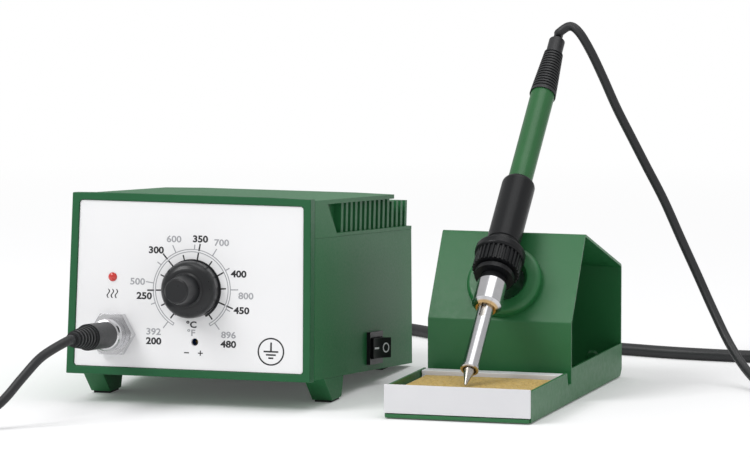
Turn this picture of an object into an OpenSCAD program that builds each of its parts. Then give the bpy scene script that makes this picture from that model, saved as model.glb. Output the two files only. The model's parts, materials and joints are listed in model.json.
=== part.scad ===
// Temperature-controlled soldering station: leaning control case, iron stand and iron.
// Millimetres, +Z up, the front of the case towards -Y, the table at Z 0.

/* [Case] */
// Width of the case at its bottom edge
body_w = 120; // [114:0.5:130]
// Width of the case at its top edge
body_top_w = 117; // [114:0.5:120]
// Depth of the case, front to back
body_d = 170; // [160:1:185]
// Height of the case without its feet
body_h = 84; // [80:0.5:92]
// Wall thickness of the case mouldings
wall = 2.4; // [1.8:0.1:3]
// How far the back wall slopes inwards on its way up
rear_draft = 3.4; // [1:0.2:5]
// Fall of the lid from its flat middle to its side edges
crown_drop = 0.4; // [0.3:0.1:1.6]
// Depth of the raised part of the lid, from the front
lid_d = 137; // [125:1:145]
// Height of the step behind the raised lid
lid_step = 3.8; // [2:0.1:4.4]
// Backward lean of the case on its front feet, in degrees
lean = 4.5; // [3.5:0.1:6]
// Height of the bottom edge of the back wall above the table
rear_rise = 1.5; // [1.2:0.1:3]

/* [Side vents] */
// Start of the vent recess at its top edge, from the front
vent_y_top = 27; // [22:0.5:34]
// Start of the vent recess at its bottom edge, from the front
vent_y_bottom = 42; // [36:0.5:46]
// Height of the vent recess, down from the lid
vent_h = 16.4; // [14:0.2:24]
// Depth of the vent recess in the side wall
vent_depth = 5; // [4:0.1:6.5]
// Thickness of the lid's edge above the recess
lid_edge = 2; // [1.4:0.1:2.4]
// Start of the first vent rib, from the front
rib_y = 53.6; // [50:0.2:60]
// Number of vent ribs on a side
rib_count = 15; // [10:1:18]
// Width of a vent rib
rib_w = 3.6; // [2.5:0.1:4]
// How far the ribs lie below the side wall's face
rib_inset = 1.4; // [0.6:0.1:2.2]
// Width of the air slot between two ribs
slot_w = 2; // [1.4:0.1:2.2]
// Distance from the back wall to the ribbed wall behind the lid
rear_inset = 3; // [2.8:0.2:8]

/* [Feet and pads] */
// Width of a front foot
foot_w = 10; // [8:0.5:13]
// Front of the foot where it leaves the case, from the front
foot_y = 22; // [20:0.5:26]
// Length of the foot where it leaves the case
foot_d = 32; // [30:0.5:36]
// How far the foot's front face slopes back on its way down
foot_rake = 14.6; // [10:0.2:16]
// Thickness of a pad under a front foot
pad_t = 1; // [0.6:0.1:1.6]
// Length of a rear pad
rear_pad_d = 12; // [8:0.5:16]
// Distance from a rear pad to the back edge
rear_pad_edge = 6; // [4:0.5:10]

/* [Front] */
// Depth of the front bezel
bezel_d = 7; // [6:0.5:9]
// Width of the bezel beside the panel
bezel_side = 3.6; // [2.4:0.1:5]
// Width of the bezel above and below the panel
bezel_edge = 3; // [2.6:0.1:5]
// How far the bezel stands above the lid and below the base
bezel_proud = 0.7; // [0.2:0.1:1]
// Thickness of the front panel
panel_t = 1.6; // [1.2:0.1:2]
// How far the panel lies behind the bezel's face
panel_recess = 0.8; // [0.5:0.1:1.5]
// Height of the dial's centre
dial_z = 40.7; // [39:0.1:43]
// Sideways place of the dial's centre
dial_x = 1.3; // [-1:0.1:3]
// Sideways place of the lamp
lamp_x = -38; // [-42:0.5:-34]
// Height of the lamp
lamp_z = 45.2; // [43:0.2:50]
// Radius of the lamp's lens
lamp_r = 2.1; // [1.5:0.1:2.6]
// Sideways place of the calibration hole
cal_x = 3.1; // [0:0.1:5]
// Height of the calibration hole
cal_z = 16.1; // [15:0.1:18]
// Radius of the calibration hole
cal_r = 1.75; // [1.5:0.05:2.2]
// Sideways place of the iron's socket
socket_x = -37; // [-40:0.2:-34]
// Height of the iron's socket
socket_z = 18.5; // [16:0.1:20]

/* [Knob] */
// Radius of the knob's skirt
knob_skirt_r = 13.4; // [11:0.1:13.6]
// Radius of the knob's finger part where it leaves the skirt
knob_base_r = 7.4; // [6.8:0.1:8]
// Radius of the knob's front face
knob_face_r = 5.9; // [5:0.1:6.4]
// Height of the knob above the panel
knob_h = 24; // [20:0.5:27]
// Height of the skirt's dome
knob_dome_h = 10; // [8:0.5:11]
// Radius of the control's shaft
shaft_r = 3; // [2.5:0.1:3.2]
// Angle of the pointer at rest, from the right, seen from the front
pointer_angle = 137; // [100:1:170]

/* [Rocker switch] */
// Length of the switch frame, front to back
switch_l = 21.4; // [20.8:0.1:23]
// Height of the switch frame
switch_h = 15.6; // [15:0.1:16.4]
// Middle of the switch, from the back edge
switch_back = 67.7; // [60:0.1:75]
// Height of the middle of the switch
switch_z = 10.8; // [10.6:0.1:14]
// How far the frame stands out of the side wall
switch_proud = 1.8; // [1.4:0.1:2]
// Half of the rocker's swing, in degrees
rocker_tilt = 14; // [9:0.5:15]

/* [Iron socket and plug] */
// Width of the socket's hex nut across its flats
nut_af = 19; // [17.5:0.1:20]
// Thickness of the hex nut
nut_t = 4.6; // [3.6:0.1:5.2]
// Radius of the plug's coupling ring
ring_grip_r = 7.6; // [7.2:0.1:8]
// Radius of the plug's body
plug_r = 6.2; // [6.1:0.1:6.4]
// Length of the plug from the panel to the end of its boot
plug_l = 57; // [52:0.5:64]
// Radius of the boot's narrow end
plug_end_r = 3.4; // [3:0.1:4]

/* [Stand] */
// Width of the stand
stand_w = 70; // [66:0.5:78]
// Length of the stand
stand_l = 170; // [165:0.5:180]
// Sheet thickness of the stand
sheet = 1.2; // [1:0.1:1.4]
// Gap between the case and the stand
stand_gap = 38; // [30:0.5:60]
// How far the stand lies ahead of the case's front face
stand_lead = 7.2; // [0:0.1:12]
// Height of the side walls beside the sponge
stand_side_h = 15.3; // [14:0.1:16]
// Height of the side walls behind the sponge
stand_rear_h = 16.4; // [15:0.1:18]
// Height of the white front plate's top edge
plate_top = 16.1; // [15:0.1:18]
// Height of the white front plate's lower edge
plate_bottom = 2.7; // [2.7:0.1:3.2]
// Place of the upright panel, from the stand's front
upright_y = 73.2; // [70:0.2:76]
// Height of the bend in the upright panel
bend_z = 38; // [36:0.2:40]
// How far the sloped panel leans back
slope_run = 25.6; // [24:0.2:27]
// Height of the ridge
ridge_z = 77.3; // [76:0.1:79]
// Height of the rear knee
knee_z = 55; // [50:0.5:60]
// Top of the sponge at its crown
sponge_z = 14.3; // [13:0.1:14.6]
// Length of the sponge, front to back
sponge_d = 54; // [48:0.5:54.5]

/* [Holder] */
// Outer radius of the holder's ring
ring_r = 18; // [17:0.1:18.6]
// How far the ring stands out of the sloped panel
ring_h = 5; // [4.5:0.1:5.4]
// Radius of the ring's mouth
mouth_r = 11.5; // [11.4:0.1:12.2]
// Radius of the holder's bore
holder_r = 9.6; // [9:0.1:9.8]
// Distance of the ring's centre from the bend, along the panel
ring_up = 19.6; // [19:0.1:21]
// Length of the sleeve behind the panel
holder_l = 46; // [30:1:54]

/* [Iron] */
// Lean of the iron from upright, in degrees
iron_lean = 48; // [47.5:0.1:48.4]
// Length of the bare tip
tip_l = 9; // [8:0.1:12]
// Length from the tip to the sleeve nut
nut_s = 46.8; // [45:0.1:49]
// Length of the sleeve nut
nut_l = 14.8; // [13:0.1:16]
// Radius of the tip's sleeve
sleeve_r = 3.8; // [3.7:0.1:4.2]
// Radius of the sleeve nut
sleeve_nut_r = 7; // [6.2:0.1:7.3]
// Length from the tip to the guard on the grip
guard_s = 66; // [65.8:0.1:67]
// Length of the guard
guard_l = 17; // [16:0.1:17.5]
// Radius of the guard
guard_r = 12; // [11:0.1:12]
// Length from the tip to the grip's upper end
grip_end_s = 126.8; // [122:0.2:132]
// Radius of the grip
grip_r = 8; // [7.6:0.1:8.2]
// Length from the tip to the handle's upper end
handle_end_s = 183.2; // [178:0.2:188]
// Radius of the handle
handle_r = 5.8; // [5.4:0.1:6.2]
// Length of the ribbed cord boot
relief_l = 35.8; // [30:0.2:40]
// Radius of the cord boot where it meets the handle
relief_r = 6.4; // [6.3:0.1:6.8]
// Number of grooves on the cord boot
relief_grooves = 15; // [8:1:16]
// Diameter of the iron's cord
iron_cord_d = 4.4; // [4:0.1:4.8]

/* [Mains lead] */
// Diameter of the mains cord
mains_d = 6; // [5.6:0.1:6.4]
// Number of turns in the stored coil
coil_turns = 6; // [4:2:8]
// Mean radius of the stored coil
coil_r = 33; // [32:0.5:38]
// Sideways place of the gland on the back wall
gland_x = -25; // [-30:0.5:-20]
// Height of the gland on the back wall
gland_z = 22; // [20:0.5:24]
// Length of the gland outside the back wall
gland_l = 15; // [13:0.5:17]

/* [Hidden] */

// Colours
green = "#2f6b44";
deep_green = "#1f6330";
black = "#26272a";
dark = "#3a3b3f";
white = "#e9eaec";
silver = "#c3c6ca";
brass = "#b99b5a";
copper = "#b5652f";
board_green = "#1d6b3c";
ceramic = "#efece4";
red = "#d9402f";
sponge_tan = "#b89a4e";

// Overrun of every cut
over = 1;
// Facets of round pieces
fine = 64;
// Running clearance of a turning piece in its bore
run_gap = 0.05;
// Clearance of pieces that lie side by side in one assembly
fit_gap = 0.2;
// Clearance between pieces that move past each other
move_gap = 0.35;

// Case: values that follow from the sizes above
side_draft = (body_w - body_top_w) / 2;
side_angle = atan(side_draft / body_h);
rear_angle = atan(rear_draft / body_h);
crown_x = 39;
case_chamfer = 1;
switch_y = body_d - switch_back;
shelf_t = 1.6;
vent_z = body_h - vent_h;
seam_z = vent_z - shelf_t;
lid_under = body_h - crown_drop - lid_edge;
step_z = body_h - lid_step;
floor_x = body_top_w / 2 - vent_depth;
tower_y = rear_at(vent_z) - rear_inset;
rib_pitch = (tower_y - rib_w - rib_y) / (rib_count - 1);
slot_rim = 1.4;
foot_back = 2.6;

// Case screws and their bosses
screw_r = 1.5;
screw_head_r = 3;
screw_head_h = 2.2;
screw_l = 16;
boss_r = 4.2;
boss_inset = 14;
boss_edge = 20;
counterbore_h = 4;

// Control: bushing, body and nut
bushing_r = 4.4;
bushing_l = 6;
pot_r = 8.2;
pot_nut_af = 10;
pot_nut_t = 2;
knob_gap = 0.6;
knob_rim_h = 5;
knob_cup_r = 8;
knob_cup_h = 6.5;
knob_bore_h = 19;
knob_edge = 0.8;
pointer_w = 1.4;
pointer_depth = 0.5;

// Circuit board behind the panel
board_y = 15;
board_t = 1.6;
board_side = 1.1;
board_half_w = min(body_w, body_top_w) / 2 - wall - board_side;
board_lid_gap = 20;
board_top = body_h - board_lid_gap;
rail_w = 1.6;
rail_reach = 3;
capacitor_r = 8;
capacitor_h = 26;
block_h = 14;
lead_r = 0.35;
lead_gap = 2.54;
lamp_body = 6;
lamp_flange = 0.5;
trimmer_body_r = 3.4;
trimmer_l = 7;
trimmer_r = 1.5;
trimmer_stand = 1.4;
slot_depth = 0.6;
slot_cut = 0.5;

// Transformer
core_w = 57;
core_h = 46;
core_t = 26;
core_leg = 9.5;
core_x = -5;
core_y = 104;
winding_proud = 9;
strap_t = 1.2;
strap_foot = 11;

// Socket and plug of the iron
shell_r = 6.3;
shell_bore_r = 5.2;
shell_front = 7.6;
shell_back = 9;
insert_t = 3;
contact_r = 0.8;
contact_ring_r = 3;
contact_l = 5;
ring_grip_l = 8;
ring_grip_edge = 1.3;
plug_body_l = 24;
plug_grooves = 6;
groove_depth = 0.9;

// Rocker switch
rocker_l = 16.4;
rocker_w = 9.6;
rocker_rise = 5.2;
rocker_valley = 4;
rocker_foot = 1;
rocker_waist = 0.8;
pivot_r = 1;
pivot_l = 1;
switch_wall = 1;
switch_depth = 17;
pocket_depth = 5.4;
blade_w = 4.8;
blade_t = 0.8;
blade_l = 7;

// Gland on the back wall
gland_r = 6.5;
gland_flange = 2;
gland_hole_r = 5;
gland_neck_r = 5.2;
gland_end_r = 4;
gland_nut_r = 6.8;
gland_nut_t = 4;
gland_grooves = 4;

// Stand: values that follow from the sizes above
stand_pad_t = 0.6;
stand_pad_r = 5;
stand_floor = stand_pad_t;
lip_z = plate_bottom - move_gap;
bend_r = 2;
bend_steps = 5;
notch_y = 66;
notch_z = 9.3;
notch_slope = 2;
rear_chamfer = 3;
rear_leg_y = stand_l - sheet;
tab_inset = 1.6;
flange_l = 13;
ridge_y = upright_y + slope_run;
panel_tilt = atan(slope_run / (ridge_z - bend_z));
rivet_r = 1.6;
rivet_head_r = 3;
rivet_head_h = 1.2;
rivet_inset = 14;
roof_slot_w = 3;
roof_slot_l = 14;
roof_slot_edge = 9;
bead_w = 6;
bead_edge = 14;
bead_l = 44;

// Tray and sponge
tray_side_h = 12;
tray_wall_y = 57.2;
tray_ledge_z = 15.2;
tray_ledge_l = 7.6;
sponge_edge_x = 4;
sponge_front = 2;
sponge_edge_drop = 1.1;
sponge_tuck = 0.7;
sponge_cells = 16;

// Holder
ring_edge = 2.5;
mouth_chamfer = 2.6;
sleeve_wall = 1.2;
sleeve_seat = 1.6;

// Iron
tip_point_r = 0.5;
tip_mid_r = 2.1;
tip_shank_r = 3.1;
tip_bore_r = 2.2;
tip_bore_s = 22;
tip_end_s = 46;
heater_r = 1.9;
heater_end_s = 92;
heater_flange_r = 4.6;
sleeve_wall_t = 0.5;
sleeve_nose = 4;
sleeve_rim_r = 4.3;
sleeve_rim_l = 1.7;
sleeve_slot_w = 2.6;
sleeve_slot_l = 6.2;
sleeve_flange_r = 5.2;
sleeve_flange_t = 1;
nut_chamfer = 2.2;
nut_wall = 1;
collar_r = 4.9;
collar_head_r = 6;
collar_head_l = 4;
guard_low_r = 9.4;
guard_low_l = 2.4;
guard_waist_r = 8;
guard_waist_l = 1.4;
guard_rib_r = 11.2;
guard_rib_l = 8.4;
guard_round = 1.2;
guard_teeth = 30;
guard_tooth = 0.7;
grip_neck_r = 9.8;
grip_neck_l = 3.8;
grip_groove = 0.5;
grip_round = 3;
grip_bore_s = 96;
handle_tail_r = 4.4;
handle_tail_l = 8;
relief_end_r = 3.9;
relief_collar_l = 7.8;
relief_groove_depth = 0.7;
relief_groove_share = 0.5;

// Cords
cord_sides = 8;
coil_sides = 6;
coil_steps = 24;
coil_gap = 0.7;
coil_lift = 0.9;
tie_t = 0.6;
tie_w = 8;
mains_boot_l = 20;
mains_boot_r = 6;
mains_plug_l = 34;
mains_plug_w = 36;
mains_plug_h = 23;
mains_plug_edge = 5;
pin_l = 18;
pin_w = 6.3;
pin_t = 1.6;
pin_spread = 7.9;
pin_angle = 30;

// Height of the case bottom's ground line, h above the table, in the case's own frame
function ground_z(y, h) = (h - rear_rise + (y - body_d) * sin(lean)) / cos(lean);
// Half width of the case and place of its back face at height z
function side_at(z) = body_w / 2 - side_draft * z / body_h;
function rear_at(z) = body_d - rear_draft * z / body_h;
// A point of the case's own frame in the upright frame of the table
function case_raw(p) = [
    p.x,
    body_d + (p.y - body_d) * cos(lean) + p.z * sin(lean),
    rear_rise - (p.y - body_d) * sin(lean) + p.z * cos(lean)];

// Origin: middle of the outline on the table, without the cords
knob_front = case_raw([dial_x, panel_recess - knob_h, dial_z - knob_face_r]);
lid_back = case_raw([0, tower_y, step_z]);
case_back = case_raw([0, rear_at(vent_z), vent_z]);
origin_x = (stand_gap + stand_w) / 2;
origin_y = (knob_front.y + max(lid_back.y, case_back.y)) / 2;
stand_x = body_w / 2 + stand_gap;

// Iron: its tip stands on the sponge and its grip lies on the holder ring's edge
ring_foot = [upright_y + ring_up * sin(panel_tilt), bend_z + ring_up * cos(panel_tilt)];
edge_up = ring_r - ring_edge;
edge_out = ring_h - ring_edge;
edge_y = ring_foot.x + edge_up * sin(panel_tilt) - edge_out * cos(panel_tilt);
edge_z = ring_foot.y + edge_up * cos(panel_tilt) + edge_out * sin(panel_tilt);
tip_z = sponge_z + move_gap + tip_point_r * sin(iron_lean);
rest_r = ring_edge + grip_r + move_gap;
tip_y = edge_y - (rest_r + (edge_z - tip_z) * sin(iron_lean)) / cos(iron_lean);
iron_l = handle_end_s + relief_l;
iron_dir = [0, sin(iron_lean), cos(iron_lean)];
iron_foot = [stand_x + stand_w / 2, tip_y - stand_lead, tip_z];

// Small vector and path functions
function unit(v) = v / norm(v);
function carry(t, u) = unit(u - (u * t) * t);
function heading(p, i) = unit(p[min(i + 1, len(p) - 1)] - p[max(i - 1, 0)]);
function spline(a, b, c, d, t) = 0.5 * (2 * b + (c - a) * t
    + (2 * a - 5 * b + 4 * c - d) * pow(t, 2) + (3 * b - a - 3 * c + d) * pow(t, 3));
function smooth(p, n) = concat(
    [for (i = [1 : len(p) - 3], k = [0 : n - 1]) spline(p[i - 1], p[i], p[i + 1], p[i + 2], k / n)],
    [p[len(p) - 2]]);
// The same with its first and last stretch kept straight, so that a cord's ends are square to what they meet
function led(p, n) = concat([p[0]], smooth(p, n), [p[len(p) - 1]]);
function round_corner(a, b, c, r, n) = let(
    u = unit(a - b), v = unit(c - b), half = acos(u * v) / 2, m = unit(u + v),
    centre = b + m * r / sin(half), s = sign(u.y * v.x - u.x * v.y),
    a0 = atan2(b.y + u.y * r / tan(half) - centre.y, b.x + u.x * r / tan(half) - centre.x))
    [for (k = [0 : n]) centre + r * [cos(a0 + s * k * (180 - 2 * half) / n),
        sin(a0 + s * k * (180 - 2 * half) / n)]];
function side_step(p, i, t) = let(
    u = unit(p[max(i, 1)] - p[max(i, 1) - 1]),
    v = unit(p[min(i + 1, len(p) - 1)] - p[min(i + 1, len(p) - 1) - 1]),
    m = unit([-u.y - v.y, u.x + v.x])) p[i] + m * t / (m * [-u.y, u.x]);

// A bent sheet: a path along one face, its corners rounded, its thickness to the left
module bent_sheet(path, t, r, w) {
    inner = len(path) < 3 ? path : concat(
        [path[0]],
        [for (i = [1 : len(path) - 2]) each round_corner(path[i - 1], path[i], path[i + 1], r, bend_steps)],
        [path[len(path) - 1]]);
    outer = [for (i = [len(inner) - 1 : -1 : 0]) side_step(inner, i, t)];
    rotate([90, 0, 90]) linear_extrude(w) polygon(concat(inner, outer));
}

// A tube of n sides along the points p, in triangles
module tube(p, r, n, up) {
    last = len(p) - 1;
    ups = [for (i = 0, u = carry(heading(p, 0), up); i <= last;
        i = i + 1, u = carry(heading(p, min(i, last)), u)) u];
    points = [for (i = [0 : last]) let(t = heading(p, i), w = cross(t, ups[i]))
        for (k = [0 : n - 1]) p[i] + r * (cos(360 * k / n) * ups[i] + sin(360 * k / n) * w)];
    sides = [for (i = [0 : last - 1], k = [0 : n - 1]) let(
        a = i * n + k, b = i * n + (k + 1) % n, c = a + n, d = b + n) each [[a, c, b], [b, c, d]]];
    ends = [for (k = [1 : n - 2]) each [[0, k, k + 1], [last * n, last * n + k + 1, last * n + k]]];
    polyhedron(points, concat(sides, ends), convexity = 10);
}

// A rounded rectangle of plain arcs, centred
module round_rect(w, h, r) {
    square([w, h - 2 * r], center = true);
    square([w - 2 * r, h], center = true);
    for (x = [-1, 1], y = [-1, 1])
        translate([x * (w / 2 - r), y * (h / 2 - r)]) circle(r, $fn = fine);
}

module rod(r, l) cylinder(r = r, h = l, $fn = fine);
module lathe(points) rotate_extrude($fn = fine) polygon(points);
// A hexagon of a given width across its flats
module hex(af, t) linear_extrude(t) circle(af / sqrt(3), $fn = 6);
// Grooves of a moulded boot: rib tops follow a taper, valleys lie below it
function ribbed(r0, r1, z0, z1, n, depth) = [for (i = [0 : n - 1]) each let(
    step = (z1 - z0) / n, z = z0 + i * step, top = r0 + (r1 - r0) * (i + 0.5) / n) [
    [top, z], [top, z + step * (1 - relief_groove_share)],
    [top - depth, z + step * (1 - relief_groove_share)], [top - depth, z + step]]];

// Frames of the two free-standing assemblies, the iron and the pieces on the panel
module on_table() translate([-origin_x, -origin_y, 0]) children();
module in_case() on_table() translate([0, body_d, rear_rise]) rotate([-lean, 0, 0])
    translate([0, -body_d, 0]) children();
module in_stand() on_table() translate([stand_x, -stand_lead, 0]) children();
module in_iron() on_table() translate(iron_foot) rotate([-iron_lean, 0, 0]) children();
// Out of the panel: +Z of the piece points away from the case
module on_panel(x, z) in_case() translate([x, panel_recess, z]) rotate([90, 0, 0]) children();
// Out of the right side wall: +X of the piece points away from the case
module on_side(y, z) in_case() translate([side_at(z), y, z]) rotate([0, -side_angle, 0]) children();
// Out of the back wall: +Z of the piece points away from the case
module on_back(x, z) in_case() translate([x, rear_at(z), z]) rotate([-90 + rear_angle, 0, 0]) children();
// Out of the sloped panel: +Z of the piece points away from the stand
module on_slope() in_stand() translate([stand_w / 2, ring_foot.x, ring_foot.y])
    rotate([90 - panel_tilt, 0, 0]) children();

// Outline of the case seen from the front, drawn in by t, from height z0 upwards
module front_outline(t, z0) polygon([
    [-side_at(z0) + t, z0], [side_at(z0) - t, z0],
    [body_top_w / 2 - t, body_h - crown_drop - t], [crown_x, body_h - t],
    [-crown_x, body_h - t], [-body_top_w / 2 + t, body_h - crown_drop - t]]);
// The closed form of the case between two heights, from the bezel back
module case_form(z0, z1) intersection() {
    translate([0, body_d + over, 0]) rotate([90, 0, 0])
        linear_extrude(body_d + over - bezel_d) front_outline(0, z0);
    translate([-body_w, 0, 0]) rotate([90, 0, 90]) linear_extrude(2 * body_w) polygon([
        [0, z0], [rear_at(z0), z0], [rear_at(z1), z1], [0, z1]]);
}
module boss_places() for (x = [-1, 1], y = [bezel_d + boss_edge, tower_y - boss_edge])
    translate([x * (body_w / 2 - boss_inset), y, 0]) children();

// Lid with its raised front, ribbed side walls in their recesses and the step at the back
module case_cover() in_case() color(green) difference() {
    union() {
        difference() {
            case_form(seam_z, body_h);
            for (s = [-1, 1]) vent_recess(s);
            translate([-body_w, tower_y, vent_z]) cube([2 * body_w, body_d, body_h]);
            translate([-body_w, lid_d, step_z]) cube([2 * body_w, body_d, body_h]);
        }
        for (s = [-1, 1], i = [0 : rib_count - 1]) vent_rib(s, rib_y + i * rib_pitch);
    }
    cover_hollow();
    for (s = [-1, 1], i = [0 : rib_count - 2])
        vent_slot(s, rib_y + rib_w + (i + 0.5) * rib_pitch - rib_w / 2 - slot_w / 2);
    boss_places() translate([0, 0, seam_z - over]) rod(screw_r, over + screw_l / 4);
}
module vent_recess(s) mirror([s < 0 ? 1 : 0, 0, 0]) translate([floor_x, 0, 0]) rotate([90, 0, 90])
    linear_extrude(body_w) polygon([
        [vent_y_bottom, vent_z], [body_d + over, vent_z], [body_d + over, body_h + over],
        [lid_d, body_h + over], [lid_d, lid_under], [vent_y_top, lid_under]]);
module vent_rib(s, y) mirror([s < 0 ? 1 : 0, 0, 0])
    translate([floor_x - wall / 2, y, vent_z - shelf_t / 2])
        cube([vent_depth - rib_inset + wall / 2, rib_w, (y + rib_w < lid_d ? lid_under + lid_edge / 2 : step_z) - vent_z + shelf_t / 2]);
module vent_slot(s, y) mirror([s < 0 ? 1 : 0, 0, 0])
    translate([floor_x - wall - over, y, vent_z + slot_rim])
        cube([wall + 2 * over, slot_w, lid_under - vent_z - 2 * slot_rim - wall]);
// Space under the lid; the four bosses stay standing in it
module cover_hollow() difference() {
    union() {
        translate([0, vent_y_top - wall, 0]) rotate([90, 0, 0])
            linear_extrude(vent_y_top - wall - bezel_d + over) front_hollow();
        translate([-floor_x + wall, vent_y_top - wall - over, seam_z - over])
            cube([2 * (floor_x - wall), lid_d - vent_y_top + over, body_h - wall - crown_drop - seam_z + over]);
        translate([-floor_x + wall, vent_y_top, seam_z - over])
            cube([2 * (floor_x - wall), tower_y - wall - vent_y_top, step_z - wall - seam_z + over]);
    }
    boss_places() translate([0, 0, seam_z]) rod(boss_r, body_h);
}
module front_hollow() polygon([
    [-side_at(seam_z) + wall, seam_z - over], [side_at(seam_z) - wall, seam_z - over],
    [body_top_w / 2 - wall, body_h - crown_drop - wall],
    [-body_top_w / 2 + wall, body_h - crown_drop - wall]]);

// Lower moulding: floor, side and back walls, bosses and board rails
module case_base() in_case() color(green) difference() {
    union() {
        difference() {
            case_form(0, seam_z);
            base_hollow();
        }
        boss_places() translate([0, 0, wall / 2]) rod(boss_r, seam_z - wall / 2);
        for (s = [-1, 1]) mirror([s < 0 ? 1 : 0, 0, 0]) {
            for (y = [board_y - rail_w, board_y + board_t])
                translate([board_half_w + fit_gap - rail_reach, y, wall / 2])
                    cube([side_at(seam_z) - board_half_w - fit_gap + rail_reach - wall / 2, rail_w, board_top - wall / 2]);
        }
    }
    boss_places() {
        translate([0, 0, -over]) rod(screw_head_r + fit_gap, counterbore_h + over);
        rod(screw_r, seam_z + over);
    }
    translate([side_at(switch_z), switch_y, switch_z]) rotate([0, -side_angle, 0])
        translate([-wall - over, -switch_l / 2 + switch_wall / 2, -switch_h / 2 + switch_wall / 2])
            cube([wall + 2 * over, switch_l - switch_wall, switch_h - switch_wall]);
    translate([gland_x, rear_at(gland_z) + over, gland_z]) rotate([90 + rear_angle, 0, 0])
        rod(gland_hole_r, wall + 2 * over + rear_draft);
}
module base_hollow() intersection() {
    translate([0, body_d, 0]) rotate([90, 0, 0]) linear_extrude(body_d) polygon([
        [-side_at(0) + wall, wall], [side_at(0) - wall, wall],
        [side_at(body_h) - wall, body_h], [-side_at(body_h) + wall, body_h]]);
    translate([-body_w, 0, 0]) rotate([90, 0, 90]) linear_extrude(2 * body_w) polygon([
        [0, wall], [rear_at(0) - wall, wall], [rear_at(body_h) - wall, body_h], [0, body_h]]);
}
// Raked front feet, level with the table below
module front_foot() color(green) translate([body_w / 2 - foot_w, 0, 0]) rotate([90, 0, 90])
    linear_extrude(foot_w) polygon([
        [foot_y, 0], [foot_y + foot_rake, ground_z(foot_y + foot_rake, pad_t)],
        [foot_y + foot_d - foot_back, ground_z(foot_y + foot_d - foot_back, pad_t)], [foot_y + foot_d, 0]]);
module right_foot() in_case() front_foot();
module left_foot() in_case() mirror([1, 0, 0]) front_foot();

// Rubber pads under the front feet and under the back of the case
module foot_pads() in_case() color(black) for (s = [-1, 1]) mirror([s < 0 ? 1 : 0, 0, 0]) {
    pad_block(body_w / 2 - foot_w + case_chamfer, foot_w - 2 * case_chamfer,
        foot_y + foot_rake + case_chamfer, foot_y + foot_d - foot_back - case_chamfer, pad_t);
    translate([body_w / 2 - 2 * foot_w, 0, 0]) rotate([90, 0, 90]) linear_extrude(foot_w) polygon([
        for (y = [body_d - rear_pad_edge - rear_pad_d, body_d - rear_pad_edge]) each [[y, ground_z(y, 0)]],
        [body_d - rear_pad_edge, 0], [body_d - rear_pad_edge - rear_pad_d, 0]]);
}
module pad_block(x, w, y0, y1, h) translate([x, 0, 0]) rotate([90, 0, 90]) linear_extrude(w) polygon([
    [y0, ground_z(y0, 0)], [y1, ground_z(y1, 0)], [y1, ground_z(y1, h)], [y0, ground_z(y0, h)]]);

panel_corner = 0.9;
panel_ledge = 2;
// Outline of the panel, drawn in by t: it narrows upwards with the case, its corners cut
function panel_half(z) = side_at(z) - bezel_side;
module panel_outline(t) {
    low = bezel_edge + t;
    high = body_h - bezel_edge - t;
    polygon([
        [-panel_half(low) + t + panel_corner, low], [panel_half(low) - t - panel_corner, low],
        [panel_half(low) - t, low + panel_corner], [panel_half(high) - t, high - panel_corner],
        [panel_half(high) - t - panel_corner, high], [-panel_half(high) + t + panel_corner, high],
        [-panel_half(high) + t, high - panel_corner], [-panel_half(low) + t, low + panel_corner]]);
}
// Frame round the front panel, with a ledge that the panel lies on
module front_bezel() in_case() color(green) difference() {
    translate([0, bezel_d, 0]) rotate([90, 0, 0]) linear_extrude(bezel_d) polygon([
        [-side_at(0), -bezel_proud], [side_at(0), -bezel_proud],
        [body_top_w / 2, body_h - crown_drop + bezel_proud], [crown_x, body_h + bezel_proud],
        [-crown_x, body_h + bezel_proud], [-body_top_w / 2, body_h - crown_drop + bezel_proud]]);
    translate([0, panel_recess + panel_t, 0]) rotate([90, 0, 0]) linear_extrude(bezel_d) panel_outline(0);
    translate([0, bezel_d + over, 0]) rotate([90, 0, 0]) linear_extrude(bezel_d + over) panel_outline(panel_ledge);
}
// White panel with the holes of the control, lamp, calibration screw and socket
module front_panel() in_case() color(white) translate([0, panel_recess + panel_t, 0]) rotate([90, 0, 0])
    difference() {
        linear_extrude(panel_t) panel_outline(fit_gap);
        for (h = [[dial_x, dial_z, bushing_r + fit_gap], [lamp_x, lamp_z, lamp_r + run_gap],
            [cal_x, cal_z, cal_r], [socket_x, socket_z, shell_r + fit_gap]])
            translate([h.x, h.y, -over]) rod(h.z, panel_t + 2 * over);
    }
// Four case screws in the bosses
module case_screws() in_case() color(silver) boss_places() translate([0, 0, counterbore_h - screw_head_h])
    lathe([[0, 0], [screw_head_r, 0], [screw_head_r, screw_head_h], [screw_r - run_gap, screw_head_h],
        [screw_r - run_gap, screw_head_h + screw_l], [0, screw_head_h + screw_l]]);

// Circuit board upright behind the panel, held in the rails of the base
module circuit_board() in_case() color(board_green) difference() {
    translate([-board_half_w, board_y + fit_gap / 2, wall]) cube([2 * board_half_w, board_t - fit_gap, board_top - wall]);
    translate([socket_x, board_y + board_t + over, socket_z]) rotate([90, 0, 0]) rod(shell_r + over, board_t + 2 * over);
    for (x = [-1, 1]) translate([lamp_x + x * lead_gap / 2, board_y + board_t + over, lamp_z])
        rotate([90, 0, 0]) rod(lead_r + run_gap, board_t + 2 * over);
}
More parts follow.
